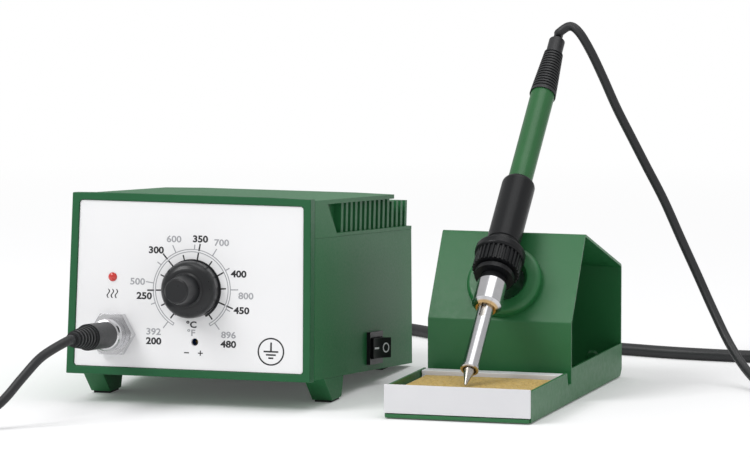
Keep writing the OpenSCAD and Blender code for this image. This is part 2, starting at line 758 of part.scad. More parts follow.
// Parts on the back of the board: two capacitors, a relay, a heat sink and the wire terminals
module board_parts() in_case() color(dark) translate([0, board_y + board_t - fit_gap / 2, 0]) {
    for (x = [0.15, 0.5]) translate([x * board_half_w, 0, board_top * 0.72]) rotate([-90, 0, 0]) rod(capacitor_r, capacitor_h);
    translate([-board_half_w * 0.55, 0, board_top * 0.6]) cube([block_h * 1.3, block_h, block_h]);
    translate([board_half_w * 0.2, 0, board_top * 0.2]) cube([block_h * 2.2, block_h * 0.7, block_h * 0.8]);
    translate([-board_half_w * 0.2, 0, board_top * 0.18]) for (i = [0 : 4])
        translate([i * block_h * 0.22, 0, 0]) cube([block_h * 0.1, block_h * 1.1, block_h * 1.4]);
    translate([-board_half_w * 0.2, 0, board_top * 0.18]) cube([block_h * 0.98, block_h * 0.2, block_h * 1.4]);
}

// Transformer: laminated core, bobbin winding and the strap that holds it to the floor
module in_transformer() in_case() translate([core_x, core_y, wall]) children();
module transformer_core() in_transformer() color(dark) difference() {
    translate([-core_w / 2, -core_t / 2, 0]) cube([core_w, core_t, core_h]);
    for (s = [-1, 1]) translate([s * (core_w / 4) - core_leg / 2, -core_t, core_leg])
        cube([core_leg, 2 * core_t, core_h - 2 * core_leg]);
}
module transformer_winding() in_transformer() color(copper) difference() {
    translate([0, core_t / 2 + winding_proud, core_h / 2]) rotate([90, 0, 0])
        linear_extrude(core_t + 2 * winding_proud)
            round_rect(core_w / 2 + core_leg - 2 * fit_gap, core_h - 2 * core_leg - 2 * fit_gap, core_leg / 2);
    translate([-core_w / 4 + core_leg / 2 - fit_gap, -core_t / 2 - fit_gap, 0])
        cube([core_w / 2 - core_leg + 2 * fit_gap, core_t + 2 * fit_gap, core_h]);
    for (s = [-1, 1]) translate([s * (core_w / 4 + core_leg / 2 - fit_gap) - (s < 0 ? core_w : 0), -core_t / 2 - fit_gap, 0])
        cube([core_w, core_t + 2 * fit_gap, core_h]);
}
module transformer_frame() in_transformer() color(silver) difference() {
    union() {
        translate([-core_w / 2 - strap_t, -core_t / 3, 0]) cube([core_w + 2 * strap_t, 2 * core_t / 3, core_h + strap_t]);
        translate([-core_w / 2 - strap_foot, -core_t / 3, 0]) cube([core_w + 2 * strap_foot, 2 * core_t / 3, strap_t]);
    }
    translate([-core_w / 2, -core_t, -over]) cube([core_w, 2 * core_t, core_h + over]);
}

// Temperature control: body on the board, threaded bushing through the panel, and its nut
module pot_body() on_panel(dial_x, dial_z) color(silver) difference() {
    union() {
        translate([0, 0, panel_recess - board_y - fit_gap / 2]) rod(pot_r, board_y - panel_recess - panel_t + fit_gap / 2);
        translate([0, 0, -panel_t - over]) rod(bushing_r, bushing_l + over);
    }
    translate([0, 0, panel_recess - board_y + over]) rod(shaft_r + run_gap, board_y + bushing_l);
}
module pot_nut() on_panel(dial_x, dial_z) color(silver) difference() {
    hex(pot_nut_af, pot_nut_t);
    translate([0, 0, -over]) rod(bushing_r + run_gap, pot_nut_t + 2 * over);
}
// Domed skirt and tapering finger part, hollow under the skirt over the nut
module temperature_knob() on_panel(dial_x, dial_z) rotate([0, 0, pointer_angle]) color(black) difference() {
    lathe(concat(
        [[knob_cup_r, knob_gap], [knob_skirt_r, knob_gap]],
        [for (k = [0 : 10]) [knob_base_r + knob_edge + (knob_skirt_r - knob_base_r - knob_edge) * cos(9 * k),
            knob_rim_h + (knob_dome_h - knob_rim_h) * sin(9 * k)]],
        [[knob_base_r, knob_dome_h + knob_edge], [knob_face_r, knob_h - knob_edge],
            [knob_face_r - knob_edge, knob_h], [0, knob_h], [0, knob_bore_h],
            [shaft_r + run_gap, knob_bore_h], [shaft_r + run_gap, knob_cup_h], [knob_cup_r, knob_cup_h]]));
    translate([knob_base_r + knob_edge, -pointer_w / 2, knob_rim_h])
        rotate([0, atan((knob_dome_h - knob_rim_h) / (knob_skirt_r - knob_base_r)), 0])
            translate([0, 0, knob_dome_h - knob_rim_h - pointer_depth]) cube([knob_skirt_r, pointer_w, knob_skirt_r]);
}
module pot_shaft() on_panel(dial_x, dial_z) color(silver)
    translate([0, 0, panel_recess - board_y + over + move_gap]) rod(shaft_r, board_y - panel_recess - over - move_gap + knob_bore_h);

// Lamp: lens in the panel, flange behind it and two leads into the board
module status_lamp() on_panel(lamp_x, lamp_z) color(red) {
    lathe([[0, -panel_t - lamp_body], [lamp_r + lamp_flange, -panel_t - lamp_body],
        [lamp_r + lamp_flange, -panel_t], [lamp_r, -panel_t], [lamp_r, 0],
        for (k = [0 : 6]) [lamp_r * cos(15 * k), lamp_r * sin(15 * k) / 2]]);
    for (x = [-1, 1]) translate([x * lead_gap / 2, 0, panel_recess - board_y - board_t])
        rod(lead_r, board_y + board_t - panel_recess - panel_t - lamp_body + over / 2);
}
// Calibration trimmer on the board and its slotted screw behind the hole
module trimmer_body() on_panel(cal_x, cal_z) color("#3c5fa8") difference() {
    translate([0, 0, panel_recess - board_y - fit_gap / 2]) rod(trimmer_body_r, trimmer_l);
    translate([0, 0, panel_recess - board_y + over]) rod(trimmer_r + run_gap, trimmer_l);
}
module trimmer_screw() on_panel(cal_x, cal_z) color(brass) difference() {
    translate([0, 0, panel_recess - board_y + over + move_gap]) rod(trimmer_r, trimmer_l + trimmer_stand - over - move_gap);
    translate([-slot_cut / 2, -trimmer_body_r, panel_recess - board_y + trimmer_l + trimmer_stand - slot_depth])
        cube([slot_cut, 2 * trimmer_body_r, slot_depth + over]);
}

// Socket of the iron: threaded shell, hex nut on the panel, insulator with its contacts
module socket_shell() on_panel(socket_x, socket_z) color(silver) difference() {
    union() {
        translate([0, 0, -panel_t - shell_back]) rod(shell_r, shell_back + panel_t + shell_front);
        translate([0, 0, -panel_t - over]) rod(shell_r + over, over);
    }
    translate([0, 0, -panel_t - shell_back - over]) rod(shell_bore_r, shell_back + panel_t + shell_front + 2 * over);
}
module socket_nut() on_panel(socket_x, socket_z) color(silver) difference() {
    intersection() {
        hex(nut_af, nut_t);
        lathe([[0, 0], [nut_af * 0.6, 0], [nut_af * 0.6, nut_t * 0.8], [nut_af * 0.53, nut_t], [0, nut_t]]);
    }
    translate([0, 0, -over]) rod(shell_r + run_gap, nut_t + 2 * over);
}
module socket_insert() on_panel(socket_x, socket_z) color(black) {
    translate([0, 0, -panel_t - insert_t]) rod(shell_bore_r - run_gap, insert_t);
    for (k = [0 : 4]) rotate([0, 0, 72 * k]) translate([contact_ring_r, 0, -panel_t - insert_t - contact_l])
        rod(contact_r, contact_l + over);
}
// Plug of the iron's cord: body with its spigot in the socket, coupling ring, ribbed boot
plug_face = nut_t + fit_gap;
module plug_body() on_panel(socket_x, socket_z) color(black) lathe([
    [0, -panel_t], [shell_bore_r - fit_gap, -panel_t], [shell_bore_r - fit_gap, shell_front],
    [plug_r - over, shell_front], [plug_r - over, plug_face + ring_grip_l], [plug_r, plug_face + ring_grip_l],
    [plug_r, plug_face + ring_grip_l + plug_body_l], [0, plug_face + ring_grip_l + plug_body_l]]);
module plug_ring() on_panel(socket_x, socket_z) color(silver) difference() {
    lathe(concat([[0, plug_face], [ring_grip_r - fit_gap, plug_face], [ring_grip_r, plug_face + fit_gap]],
        [for (k = [0 : 3]) [ring_grip_r - ring_grip_edge + ring_grip_edge * cos(30 * k),
            plug_face + ring_grip_l - 2 * ring_grip_edge + 2 * ring_grip_edge * sin(30 * k)]],
        [[0, plug_face + ring_grip_l]]));
    translate([0, 0, plug_face - over]) rod(shell_r + run_gap, shell_front - plug_face + over);
    translate([0, 0, plug_face]) rod(plug_r - over + run_gap, ring_grip_l + over);
}
module plug_boot() on_panel(socket_x, socket_z) color(black) lathe(concat(
    [[0, plug_face + ring_grip_l + plug_body_l]],
    ribbed(plug_r - groove_depth / 2, plug_end_r + groove_depth / 2, plug_face + ring_grip_l + plug_body_l,
        plug_l - over, plug_grooves, groove_depth),
    [[plug_end_r, plug_l - over], [plug_end_r, plug_l], [0, plug_l]]));

// Rocker switch in the side wall
pocket_l = rocker_l + 2 * (over + move_gap);
module switch_body() on_side(switch_y, switch_z) color(black) difference() {
    union() {
        translate([0, -switch_l / 2, -switch_h / 2]) cube([switch_proud, switch_l, switch_h]);
        translate([-switch_depth, -pocket_l / 2 - switch_wall / 2, -switch_h / 2 + switch_wall])
            cube([switch_depth + switch_proud / 2, pocket_l + switch_wall, switch_h - 2 * switch_wall]);
        for (k = [-1, 1]) translate([-switch_depth - blade_l, k * pocket_l / 3 - blade_t / 2, -blade_w / 2])
            cube([blade_l + over, blade_t, blade_w]);
    }
    translate([-pocket_depth, -pocket_l / 2, -rocker_w / 2 - move_gap]) cube([switch_depth, pocket_l, rocker_w + 2 * move_gap]);
    translate([0, 0, -rocker_w / 2 - pivot_l - move_gap]) rod(pivot_r + run_gap, rocker_w + 2 * (pivot_l + move_gap));
}
module switch_rocker() on_side(switch_y, switch_z) rotate([0, 0, -rocker_tilt]) color(black) {
    translate([0, 0, -rocker_w / 2]) linear_extrude(rocker_w) polygon([
        [-rocker_foot, rocker_l / 2 - rocker_waist - rocker_foot], [0, rocker_l / 2 - rocker_waist],
        [rocker_rise, rocker_l / 2], [rocker_valley, 0], [rocker_rise, -rocker_l / 2],
        [0, -rocker_l / 2 + rocker_waist], [-rocker_foot, -rocker_l / 2 + rocker_waist + rocker_foot]]);
    translate([0, 0, -rocker_w / 2 - pivot_l]) rod(pivot_r, rocker_w + 2 * pivot_l);
}

// Gland of the mains lead: flange, ribbed taper outside, collar inside
module cord_gland() on_back(gland_x, gland_z) color(black) lathe(concat(
    [[0, -wall - gland_nut_t], [gland_nut_r, -wall - gland_nut_t], [gland_nut_r, -wall - fit_gap],
        [gland_hole_r - fit_gap, -wall - fit_gap], [gland_hole_r - fit_gap, 0], [gland_r, 0], [gland_r, gland_flange]],
    ribbed(gland_neck_r, gland_end_r, gland_flange, gland_l - over, gland_grooves, groove_depth / 2),
    [[gland_end_r, gland_l - over], [gland_end_r, gland_l], [0, gland_l]]));

// Stand base: folded channel, low at the front, notched where the upright stands
module stand_base() in_stand() color(green) {
    translate([0, sheet + move_gap, stand_floor]) cube([stand_w, stand_l - rear_chamfer - sheet - move_gap, sheet]);
    for (x = [0, stand_w - sheet]) translate([x, 0, 0]) rotate([90, 0, 90]) linear_extrude(sheet) polygon([
        [sheet + move_gap, stand_floor], [sheet + move_gap, stand_side_h], [notch_y, stand_side_h],
        [notch_y + notch_slope, notch_z], [upright_y + sheet + move_gap, notch_z],
        [upright_y + sheet + move_gap, stand_rear_h], [stand_l, stand_rear_h],
        [stand_l, stand_floor + rear_chamfer], [stand_l - rear_chamfer, stand_floor]]);
    translate([sheet / 2, 0, stand_floor]) cube([stand_w - sheet, sheet, lip_z - stand_floor]);
    translate([sheet / 2, 0, stand_floor]) cube([stand_w - sheet, 2 * sheet + move_gap, sheet]);
    translate([sheet / 2, stand_l - sheet, stand_floor + rear_chamfer])
        cube([stand_w - sheet, sheet, stand_rear_h - stand_floor - rear_chamfer]);
    translate([sheet / 2, stand_l - rear_chamfer - sheet, stand_floor]) rotate([90, 0, 90])
        linear_extrude(stand_w - sheet) polygon([[0, 0], [sheet, 0], [sheet + rear_chamfer, rear_chamfer],
            [sheet + rear_chamfer, sheet + rear_chamfer], [rear_chamfer, sheet + rear_chamfer], [0, sheet]]);
    for (x = [bead_edge, stand_w - bead_edge - bead_w]) translate([x, bead_edge / 2, stand_floor + sheet / 2])
        cube([bead_w, bead_l, lip_z - stand_floor - sheet / 2]);
}
// Upright: one bent sheet, front leg, sloped panel, roof and rear leg, standing between the base walls
upright_path = [[upright_y, notch_z], [upright_y, bend_z], [ridge_y, ridge_z],
    [rear_leg_y, knee_z], [rear_leg_y, stand_rear_h]];
module stand_upright() in_stand() color(green) difference() {
    union() {
        bent_sheet([for (i = [len(upright_path) - 1 : -1 : 0]) upright_path[i]], sheet, bend_r, stand_w);
        translate([tab_inset, upright_y, stand_floor + sheet]) cube([stand_w - 2 * tab_inset, sheet, bend_z / 2]);
        translate([tab_inset, upright_y, stand_floor + sheet]) cube([stand_w - 2 * tab_inset, flange_l, sheet]);
        translate([tab_inset, rear_leg_y - sheet, stand_floor + rear_chamfer + sheet])
            cube([stand_w - 2 * tab_inset, sheet, bend_z / 2]);
    }
    on_slope_local() translate([0, 0, -2 * sheet]) rod(holder_r + sleeve_wall + run_gap, 4 * sheet);
    rivet_places() translate([0, 0, -sheet]) rod(rivet_r, 4 * sheet);
    for (y = [roof_slot_edge, 2 * roof_slot_edge]) translate([stand_w - roof_slot_edge - roof_slot_l, ridge_y + y, bend_z])
        cube([roof_slot_l, roof_slot_w, ridge_z]);
}
module on_slope_local() translate([stand_w / 2, ring_foot.x, ring_foot.y]) rotate([90 - panel_tilt, 0, 0]) children();
// Two rivets through the front flange and two through the rear leg, out of the base's inner faces
module rivet_places() for (k = [-1, 1]) translate([stand_w / 2 + k * (stand_w / 2 - rivet_inset), 0, 0]) {
    translate([0, upright_y + flange_l * 0.6, stand_floor + sheet]) children();
    translate([0, rear_leg_y, (stand_rear_h + rear_chamfer) / 2]) rotate([90, 0, 0]) children();
}
module stand_rivets() in_stand() color(silver) rivet_places()
    lathe([[0, 0], [rivet_r - run_gap, 0], [rivet_r - run_gap, sheet], [rivet_head_r, sheet],
        [rivet_head_r, sheet + rivet_head_h / 2], [rivet_head_r * 0.7, sheet + rivet_head_h], [0, sheet + rivet_head_h]]);
module stand_pads() in_stand() color(black) for (x = [2 * stand_pad_r, stand_w - 2 * stand_pad_r],
    y = [2 * stand_pad_r, stand_l - 2 * stand_pad_r]) translate([x, y, 0]) rod(stand_pad_r, stand_pad_t);

// Holder: moulded ring with a rounded edge and countersunk mouth, and the sleeve behind it
module holder_ring() on_slope() color(green) lathe(concat(
    [[holder_r, sleeve_seat], [holder_r + sleeve_wall + run_gap, sleeve_seat], [holder_r + sleeve_wall + run_gap, 0], [ring_r, 0]],
    [for (k = [0 : 6]) [ring_r - ring_edge + ring_edge * cos(15 * k), ring_h - ring_edge + ring_edge * sin(15 * k)]],
    [[mouth_r, ring_h], [holder_r, ring_h - mouth_chamfer]]));
module holder_sleeve() on_slope() color(dark) difference() {
    translate([0, 0, -holder_l]) rod(holder_r + sleeve_wall, holder_l + sleeve_seat);
    translate([0, 0, -holder_l - over]) rod(holder_r, holder_l + sleeve_seat + 2 * over);
}

// White sheet tray: front plate, floor, low sides and the ledge behind the sponge
module sponge_tray() in_stand() color(white) {
    translate([0, 0, plate_bottom]) cube([stand_w, sheet, plate_top - plate_bottom]);
    translate([sheet + move_gap, sheet / 2, plate_bottom]) cube([stand_w - 2 * (sheet + move_gap), tray_wall_y, sheet]);
    for (x = [sheet + move_gap, stand_w - 2 * sheet - move_gap]) translate([x, sheet / 2, plate_bottom])
        cube([sheet, tray_wall_y, tray_side_h - plate_bottom]);
    translate([sheet + move_gap, tray_wall_y, plate_bottom]) cube([stand_w - 2 * (sheet + move_gap), sheet, tray_ledge_z - plate_bottom]);
    translate([sheet + move_gap, tray_wall_y, tray_ledge_z - sheet])
        cube([stand_w - 2 * (sheet + move_gap), tray_ledge_l, sheet]);
}
// Sponge: flat below, its top crowned, its edges drawn in
sponge_w = stand_w - 2 * sponge_edge_x;
sponge_foot = plate_bottom + sheet;
function sponge_lift(u, v) = (1 - pow(abs(u), 6)) * (1 - pow(abs(v), 6));
function sponge_point(i, j) = let(u = 2 * i / sponge_cells - 1, v = 2 * j / sponge_cells - 1,
    f = sponge_lift(u, v)) [
    u * (sponge_w / 2 - sponge_tuck * pow(abs(u), 4) * (1 - pow(abs(v), 2)) / 2),
    v * (sponge_d / 2 - sponge_tuck * pow(abs(v), 4) * (1 - pow(abs(u), 2)) / 2),
    sponge_z - sponge_foot - sponge_edge_drop * (1 - f)];
module sponge() in_stand() color(sponge_tan)
    translate([stand_w / 2, sponge_front + sponge_d / 2, sponge_foot]) {
        n = sponge_cells;
        top = [for (i = [0 : n], j = [0 : n]) sponge_point(i, j)];
        rim = concat([for (i = [0 : n - 1]) i * (n + 1)], [for (j = [0 : n - 1]) n * (n + 1) + j],
            [for (i = [n : -1 : 1]) i * (n + 1) + n], [for (j = [n : -1 : 1]) j]);
        count = len(top);
        foot = [for (k = rim) [top[k].x, top[k].y, 0]];
        cells = [for (i = [0 : n - 1], j = [0 : n - 1]) let(a = i * (n + 1) + j, b = a + 1, c = a + n + 1)
            each [[a, b, c], [b, c + 1, c]]];
        skirt = [for (k = [0 : len(rim) - 1]) let(m = (k + 1) % len(rim))
            each [[rim[k], rim[m], count + k], [rim[m], count + m, count + k]]];
        base = [for (k = [1 : len(rim) - 2]) [count, count + k, count + k + 1]];
        polyhedron(concat(top, foot), concat(cells, skirt, base), convexity = 4);
    }

// Iron, from the tip upwards
module iron_tip() in_iron() color(silver) lathe([
    [0, 0], [tip_point_r * 0.7, 0], [tip_point_r, tip_point_r * 0.5], [tip_mid_r, tip_l * 0.72], [tip_mid_r + tip_point_r, tip_l],
    [tip_shank_r, tip_l + sleeve_nose * 1.3], [tip_shank_r, tip_end_s], [tip_bore_r, tip_end_s], [tip_bore_r, tip_bore_s], [0, tip_bore_s]]);
module heater_element() in_iron() color(ceramic) lathe([
    [0, tip_bore_s + over], [heater_r, tip_bore_s + over], [heater_r, guard_s], [heater_r, heater_end_s], [0, heater_end_s]]);
module tip_sleeve() in_iron() color(silver) difference() {
    lathe([[tip_mid_r + 2 * tip_point_r, tip_l], [sleeve_rim_r - sleeve_wall_t, tip_l], [sleeve_rim_r, tip_l + sleeve_wall_t],
        [sleeve_rim_r, tip_l + sleeve_rim_l], [sleeve_r, tip_l + sleeve_rim_l + sleeve_wall_t],
        [sleeve_r, nut_s + nut_l - sleeve_flange_t], [sleeve_flange_r, nut_s + nut_l - sleeve_flange_t],
        [sleeve_flange_r, nut_s + nut_l], [sleeve_r - sleeve_wall_t, nut_s + nut_l], [sleeve_r - sleeve_wall_t, tip_l + sleeve_nose]]);
    for (turn = [0, 180]) rotate([90, 0, turn]) linear_extrude(2 * sleeve_r) {
        translate([0, nut_s - sleeve_slot_l]) circle(sleeve_slot_w / 2, $fn = fine);
        translate([-sleeve_slot_w / 2, nut_s - sleeve_slot_l]) square([sleeve_slot_w, sleeve_slot_l + sleeve_slot_w]);
    }
}
module sleeve_nut() in_iron() color(silver) lathe([
    [sleeve_r + run_gap, nut_s], [sleeve_nut_r - nut_chamfer, nut_s], [sleeve_nut_r, nut_s + nut_chamfer],
    [sleeve_nut_r, nut_s + nut_l], [sleeve_flange_r + run_gap, nut_s + nut_l],
    [sleeve_flange_r + run_gap, nut_s + nut_l - sleeve_flange_t], [sleeve_r + run_gap, nut_s + nut_l - sleeve_flange_t]]);
module iron_collar() in_iron() color(black) lathe([
    [heater_r, nut_s + nut_l], [collar_head_r, nut_s + nut_l], [collar_head_r, nut_s + nut_l + collar_head_l],
    [collar_r, nut_s + nut_l + collar_head_l], [collar_r, guard_s + guard_l], [heater_r, guard_s + guard_l]]);
// Guard: a low flange, a waist, a toothed ring and the rounded rim that stops the fingers
guard_rib_s = guard_s + guard_low_l + guard_waist_l;
guard_rim_s = guard_rib_s + guard_rib_l;
module grip_guard() in_iron() color(black) {
    lathe(concat(
        [[collar_r + run_gap, guard_s], [guard_low_r, guard_s], [guard_low_r, guard_s + guard_low_l],
            [guard_waist_r, guard_s + guard_low_l], [guard_waist_r, guard_rim_s]],
        [for (k = [-3 : 0]) [guard_r - guard_round + guard_round * cos(30 * k), guard_rim_s + guard_round + guard_round * sin(30 * k)]],
        [for (k = [0 : 3]) [guard_r - guard_round + guard_round * cos(30 * k), guard_s + guard_l - guard_round + guard_round * sin(30 * k)]],
        [[collar_r + run_gap, guard_s + guard_l]]));
    translate([0, 0, guard_rib_s]) linear_extrude(guard_rib_l + over) difference() {
        polygon([for (k = [0 : guard_teeth - 1]) each let(a = 360 / guard_teeth) [
            for (e = [[0, 0], [0.12, 1], [0.5, 1], [0.62, 0]])
                (guard_rib_r - guard_tooth * (1 - e.y)) * [cos(a * (k + e.x)), sin(a * (k + e.x))]]]);
        circle(guard_waist_r - guard_round, $fn = fine);
    }
}
module iron_grip() in_iron() color(black) lathe(concat(
    [for (k = [0 : 4]) [grip_neck_r - (grip_neck_r - grip_r) * sin(22.5 * k), guard_s + guard_l + grip_neck_l * (1 - cos(22.5 * k))]],
    [[grip_r - grip_groove, guard_s + guard_l + grip_neck_l + grip_groove], [grip_r, guard_s + guard_l + grip_neck_l + 2 * grip_groove]],
    [for (k = [0 : 6]) [grip_r - grip_round + grip_round * cos(12 * k), grip_end_s - grip_round + grip_round * sin(12 * k)]],
    [[handle_r + run_gap, grip_end_s], [handle_r + run_gap, grip_bore_s], [heater_r + run_gap, grip_bore_s],
        [heater_r + run_gap, guard_s + guard_l]]));
module iron_handle() in_iron() color(deep_green) lathe([
    [0, grip_bore_s], [handle_r, grip_bore_s], [handle_r, handle_end_s], [handle_tail_r, handle_end_s],
    [handle_tail_r, handle_end_s + handle_tail_l], [0, handle_end_s + handle_tail_l]]);
module iron_boot() in_iron() color(black) lathe(concat(
    [[0, handle_end_s + handle_tail_l], [handle_tail_r + run_gap, handle_end_s + handle_tail_l],
        [handle_tail_r + run_gap, handle_end_s], [relief_r, handle_end_s]],
    ribbed(relief_r, relief_end_r + relief_groove_depth, handle_end_s + over, iron_l - relief_collar_l, relief_grooves, relief_groove_depth),
    [[relief_end_r, iron_l - relief_collar_l], [relief_end_r, iron_l], [0, iron_l]]));

// Routes of the cords on the table, as chosen; x, y, z on the table before the shift to the origin
iron_cord_route = [
    [134, 171, 166], [139, 172, 169], [144, 171, 166], [150, 170, 157], [156, 170, 145], [163, 170, 130],
    [171, 170, 115], [178, 170, 102], [187, 169, 86], [196, 167, 68], [205, 164, 51], [214, 159, 35],
    [224, 151, 20], [235, 140, 9], [247, 125, 3], [260, 105, 2.2], [273, 75, 2.2], [286, 38, 2.2],
    [297, -5, 2.2], [303, -50, 2.2], [304, -90, 2.2], [288, -119, 2.2], [245, -132, 2.2], [192, -144, 2.2],
    [140, -158, 2.2], [90, -172, 2.2], [40, -187, 2.2], [-8, -199, 2.2], [-50, -198, 2.2], [-77, -177, 2.2],
    [-87, -146, 2.2], [-81, -118, 2.2], [-70, -99, 4], [-60, -88, 12], [-52, -80, 23], [-45, -73, 32]];
mains_route = [
    [-26, 206, 20], [-30, 228, 13], [-33, 250, 6], [-28, 272, 3], [-13, 286, 3], [8, 289, 3], [27, 282, 3],
    [45, 269, 3], [66, 257, 3], [92, 250, 3], [120, 246, 3], [148, 240, 3], [172, 234, 3], [193, 231, 3],
    [213, 230, 3], [231, 230, 3.4]];
coil_centre = [264, 272];

function shift(p) = [for (q = p) q - [origin_x, origin_y, 0]];
iron_end = iron_foot + iron_l * iron_dir;
plug_dir = [0, -cos(lean), sin(lean)];
plug_end = case_raw([socket_x, panel_recess, socket_z]) + plug_l * plug_dir;
back_dir = [0, cos(lean - rear_angle), -sin(lean - rear_angle)];
gland_end = case_raw([gland_x, rear_at(gland_z), gland_z]) + gland_l * back_dir;

// The iron's cord: straight out of its boot, along the route, straight into the plug's boot
iron_start = iron_end + move_gap * iron_dir;
iron_ctrl = concat([iron_start, iron_start + iron_cord_d * iron_dir], iron_cord_route,
    [plug_end + iron_cord_d * plug_dir, plug_end]);
module iron_cord() color(black) tube(shift(led(iron_ctrl, 2)), iron_cord_d / 2, cord_sides, [1, 0, 0]);

// The stored coil: two layers, in below and out above, its ends running straight
turn_pitch = mains_d + coil_gap;
layer_z = mains_d / 2 + coil_lift;
coil_in = coil_turns / 2;
coil_out_r = coil_r + turn_pitch * coil_in / 2;
function ease(t) = t <= 0 ? 0 : t >= 1 ? 1 : pow(t, 2) * (3 - 2 * t);
function coil_point(t) = let(r = coil_out_r - turn_pitch * min(t, coil_turns - t), a = 360 * t - 90)
    [coil_centre.x + r * cos(a), coil_centre.y + r * sin(a), layer_z + turn_pitch * ease((t - coil_in + 0.25) / 0.5)];
coil_first = coil_point(0);
coil_last = coil_point(coil_turns);
coil_loops = [for (k = [0 : coil_turns * coil_steps]) coil_point(k / coil_steps)];
coil_path = concat(
    [coil_first - [mains_d, 0, 0], coil_first - [mains_d / 2, 0, 0]], coil_loops,
    [coil_last + [mains_d / 2, 0, 0], coil_last + [mains_d, 0, 0]]);
coil_clear = min([for (i = [0 : len(coil_loops) - 1]) for (j = [i + coil_steps / 2 : 1 : len(coil_loops) - 1])
    norm(coil_loops[i] - coil_loops[j])]) - mains_d;
echo(coil_gap_to_itself = coil_clear);
module mains_coil() color(black) tube(shift(coil_path), mains_d / 2, coil_sides, [0, 0, 1]);

coil_start = coil_first - [mains_d, 0, 0];
coil_end = coil_last + [mains_d, 0, 0];
mains_ctrl = concat([gland_end, gland_end + mains_d * back_dir], mains_route, [coil_start - [mains_d, 0, 0], coil_start]);
module mains_cord() color(black) tube(shift(led(mains_ctrl, 2)), mains_d / 2, cord_sides, [0, 0, 1]);

// The short free end between the coil and the plug, which lies on the table beyond it
plug_z = mains_plug_h / 2;
tail_l = 30;
plug_start = [coil_end.x + tail_l, coil_end.y, plug_z];
module mains_tail() color(black) tube(shift(led([coil_end, coil_end + [mains_d, 0, 0],
    plug_start - [mains_d, 0, 0], plug_start], 3)), mains_d / 2, cord_sides, [0, 0, 1]);
module at_mains_plug() on_table() translate(plug_start) rotate([0, 90, 0]) children();
module mains_boot() at_mains_plug() color(black) lathe(concat(
    [[0, 0], [mains_d * 0.6, 0]],
    ribbed(mains_d * 0.6, mains_boot_r, over, mains_boot_l, gland_grooves, groove_depth / 2),
    [[mains_boot_r, mains_boot_l], [0, mains_boot_l]]));
module mains_plug() at_mains_plug() color(black) translate([0, 0, mains_boot_l])
    intersection() {
        linear_extrude(mains_plug_l) round_rect(mains_plug_h, mains_plug_w, mains_plug_edge);
        translate([-mains_plug_h / 2, 0, 0]) rotate([90, 0, 90]) linear_extrude(mains_plug_h) polygon([
            [-mains_plug_w / 4, 0], [mains_plug_w / 4, 0], [mains_plug_w / 2, mains_plug_l * 0.55],
            [mains_plug_w / 2, mains_plug_l], [-mains_plug_w / 2, mains_plug_l], [-mains_plug_w / 2, mains_plug_l * 0.55]]);
    }
module mains_pins() at_mains_plug() color(silver) translate([0, 0, mains_boot_l + mains_plug_l])
    for (k = [0 : 2]) rotate([0, 0, 120 * k]) translate([pin_spread, 0, 0])
        rotate([0, 0, k == 0 ? 90 : 90 + pin_angle * (3 - 2 * k)]) translate([-pin_w / 2, -pin_t / 2, 0])
            cube([pin_w, pin_t, pin_l]);
// Strap round the coil's bundle, flat under it
module coil_tie() on_table() color(dark)
    translate([coil_centre.x - tie_w / 2, coil_centre.y + coil_r, 0]) rotate([90, 0, 90]) linear_extrude(tie_w)
        translate([0, layer_z + turn_pitch / 2]) difference() {
            translate([-tie_half_w - tie_t, -tie_half_h - tie_t]) square([2 * (tie_half_w + tie_t), 2 * (tie_half_h + tie_t)]);
            translate([-tie_half_w, -tie_half_h]) square([2 * tie_half_w, 2 * tie_half_h]);
        }
tie_half_w = (turn_pitch * (coil_in - 1) + mains_d) / 2 + coil_gap;
tie_half_h = turn_pitch / 2 + mains_d / 2 + coil_lift - tie_t;

case_cover();
case_base();
left_foot();
right_foot();
foot_pads();
front_bezel();
front_panel();
case_screws();
circuit_board();
board_parts();
transformer_core();
transformer_winding();
transformer_frame();
pot_body();
pot_nut();
status_lamp();
trimmer_body();
socket_shell();
socket_nut();
socket_insert();
switch_body();
cord_gland();
temperature_knob();
pot_shaft();
switch_rocker();
trimmer_screw();
stand_base();
stand_upright();
stand_rivets();
stand_pads();
holder_ring();
holder_sleeve();
sponge_tray();
sponge();
iron_tip();
heater_element();
tip_sleeve();
sleeve_nut();
iron_collar();
grip_guard();
iron_grip();
iron_handle();
iron_boot();
iron_cord();
plug_body();
plug_ring();
plug_boot();
mains_cord();
mains_coil();
mains_tail();
coil_tie();
mains_plug();
mains_pins();
mains_boot();
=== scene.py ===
"""A bench soldering station: leaning control case, folded sheet stand and iron, in a plain pale studio.

Lengths are millimetres on the table until place() turns them into metres of the model's frame."""

import json
import math

import bmesh
import bpy
import numpy as np
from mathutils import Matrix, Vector


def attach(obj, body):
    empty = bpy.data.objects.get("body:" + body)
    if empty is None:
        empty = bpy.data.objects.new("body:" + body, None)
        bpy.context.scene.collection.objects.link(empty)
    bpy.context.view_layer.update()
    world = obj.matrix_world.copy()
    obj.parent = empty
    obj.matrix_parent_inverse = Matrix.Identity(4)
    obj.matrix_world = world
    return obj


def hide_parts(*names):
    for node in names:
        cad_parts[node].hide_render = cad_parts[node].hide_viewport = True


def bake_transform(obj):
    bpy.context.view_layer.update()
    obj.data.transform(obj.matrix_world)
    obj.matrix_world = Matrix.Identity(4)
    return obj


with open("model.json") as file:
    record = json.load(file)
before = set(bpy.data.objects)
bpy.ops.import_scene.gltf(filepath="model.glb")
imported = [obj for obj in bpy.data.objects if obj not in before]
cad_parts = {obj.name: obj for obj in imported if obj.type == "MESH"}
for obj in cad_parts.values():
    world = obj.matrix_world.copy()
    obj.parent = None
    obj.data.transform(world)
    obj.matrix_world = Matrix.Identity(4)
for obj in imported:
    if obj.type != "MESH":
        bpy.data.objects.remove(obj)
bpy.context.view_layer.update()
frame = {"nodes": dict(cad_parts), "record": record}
NODES = frame["nodes"]
MM = 1000.0  # millimetres in a metre

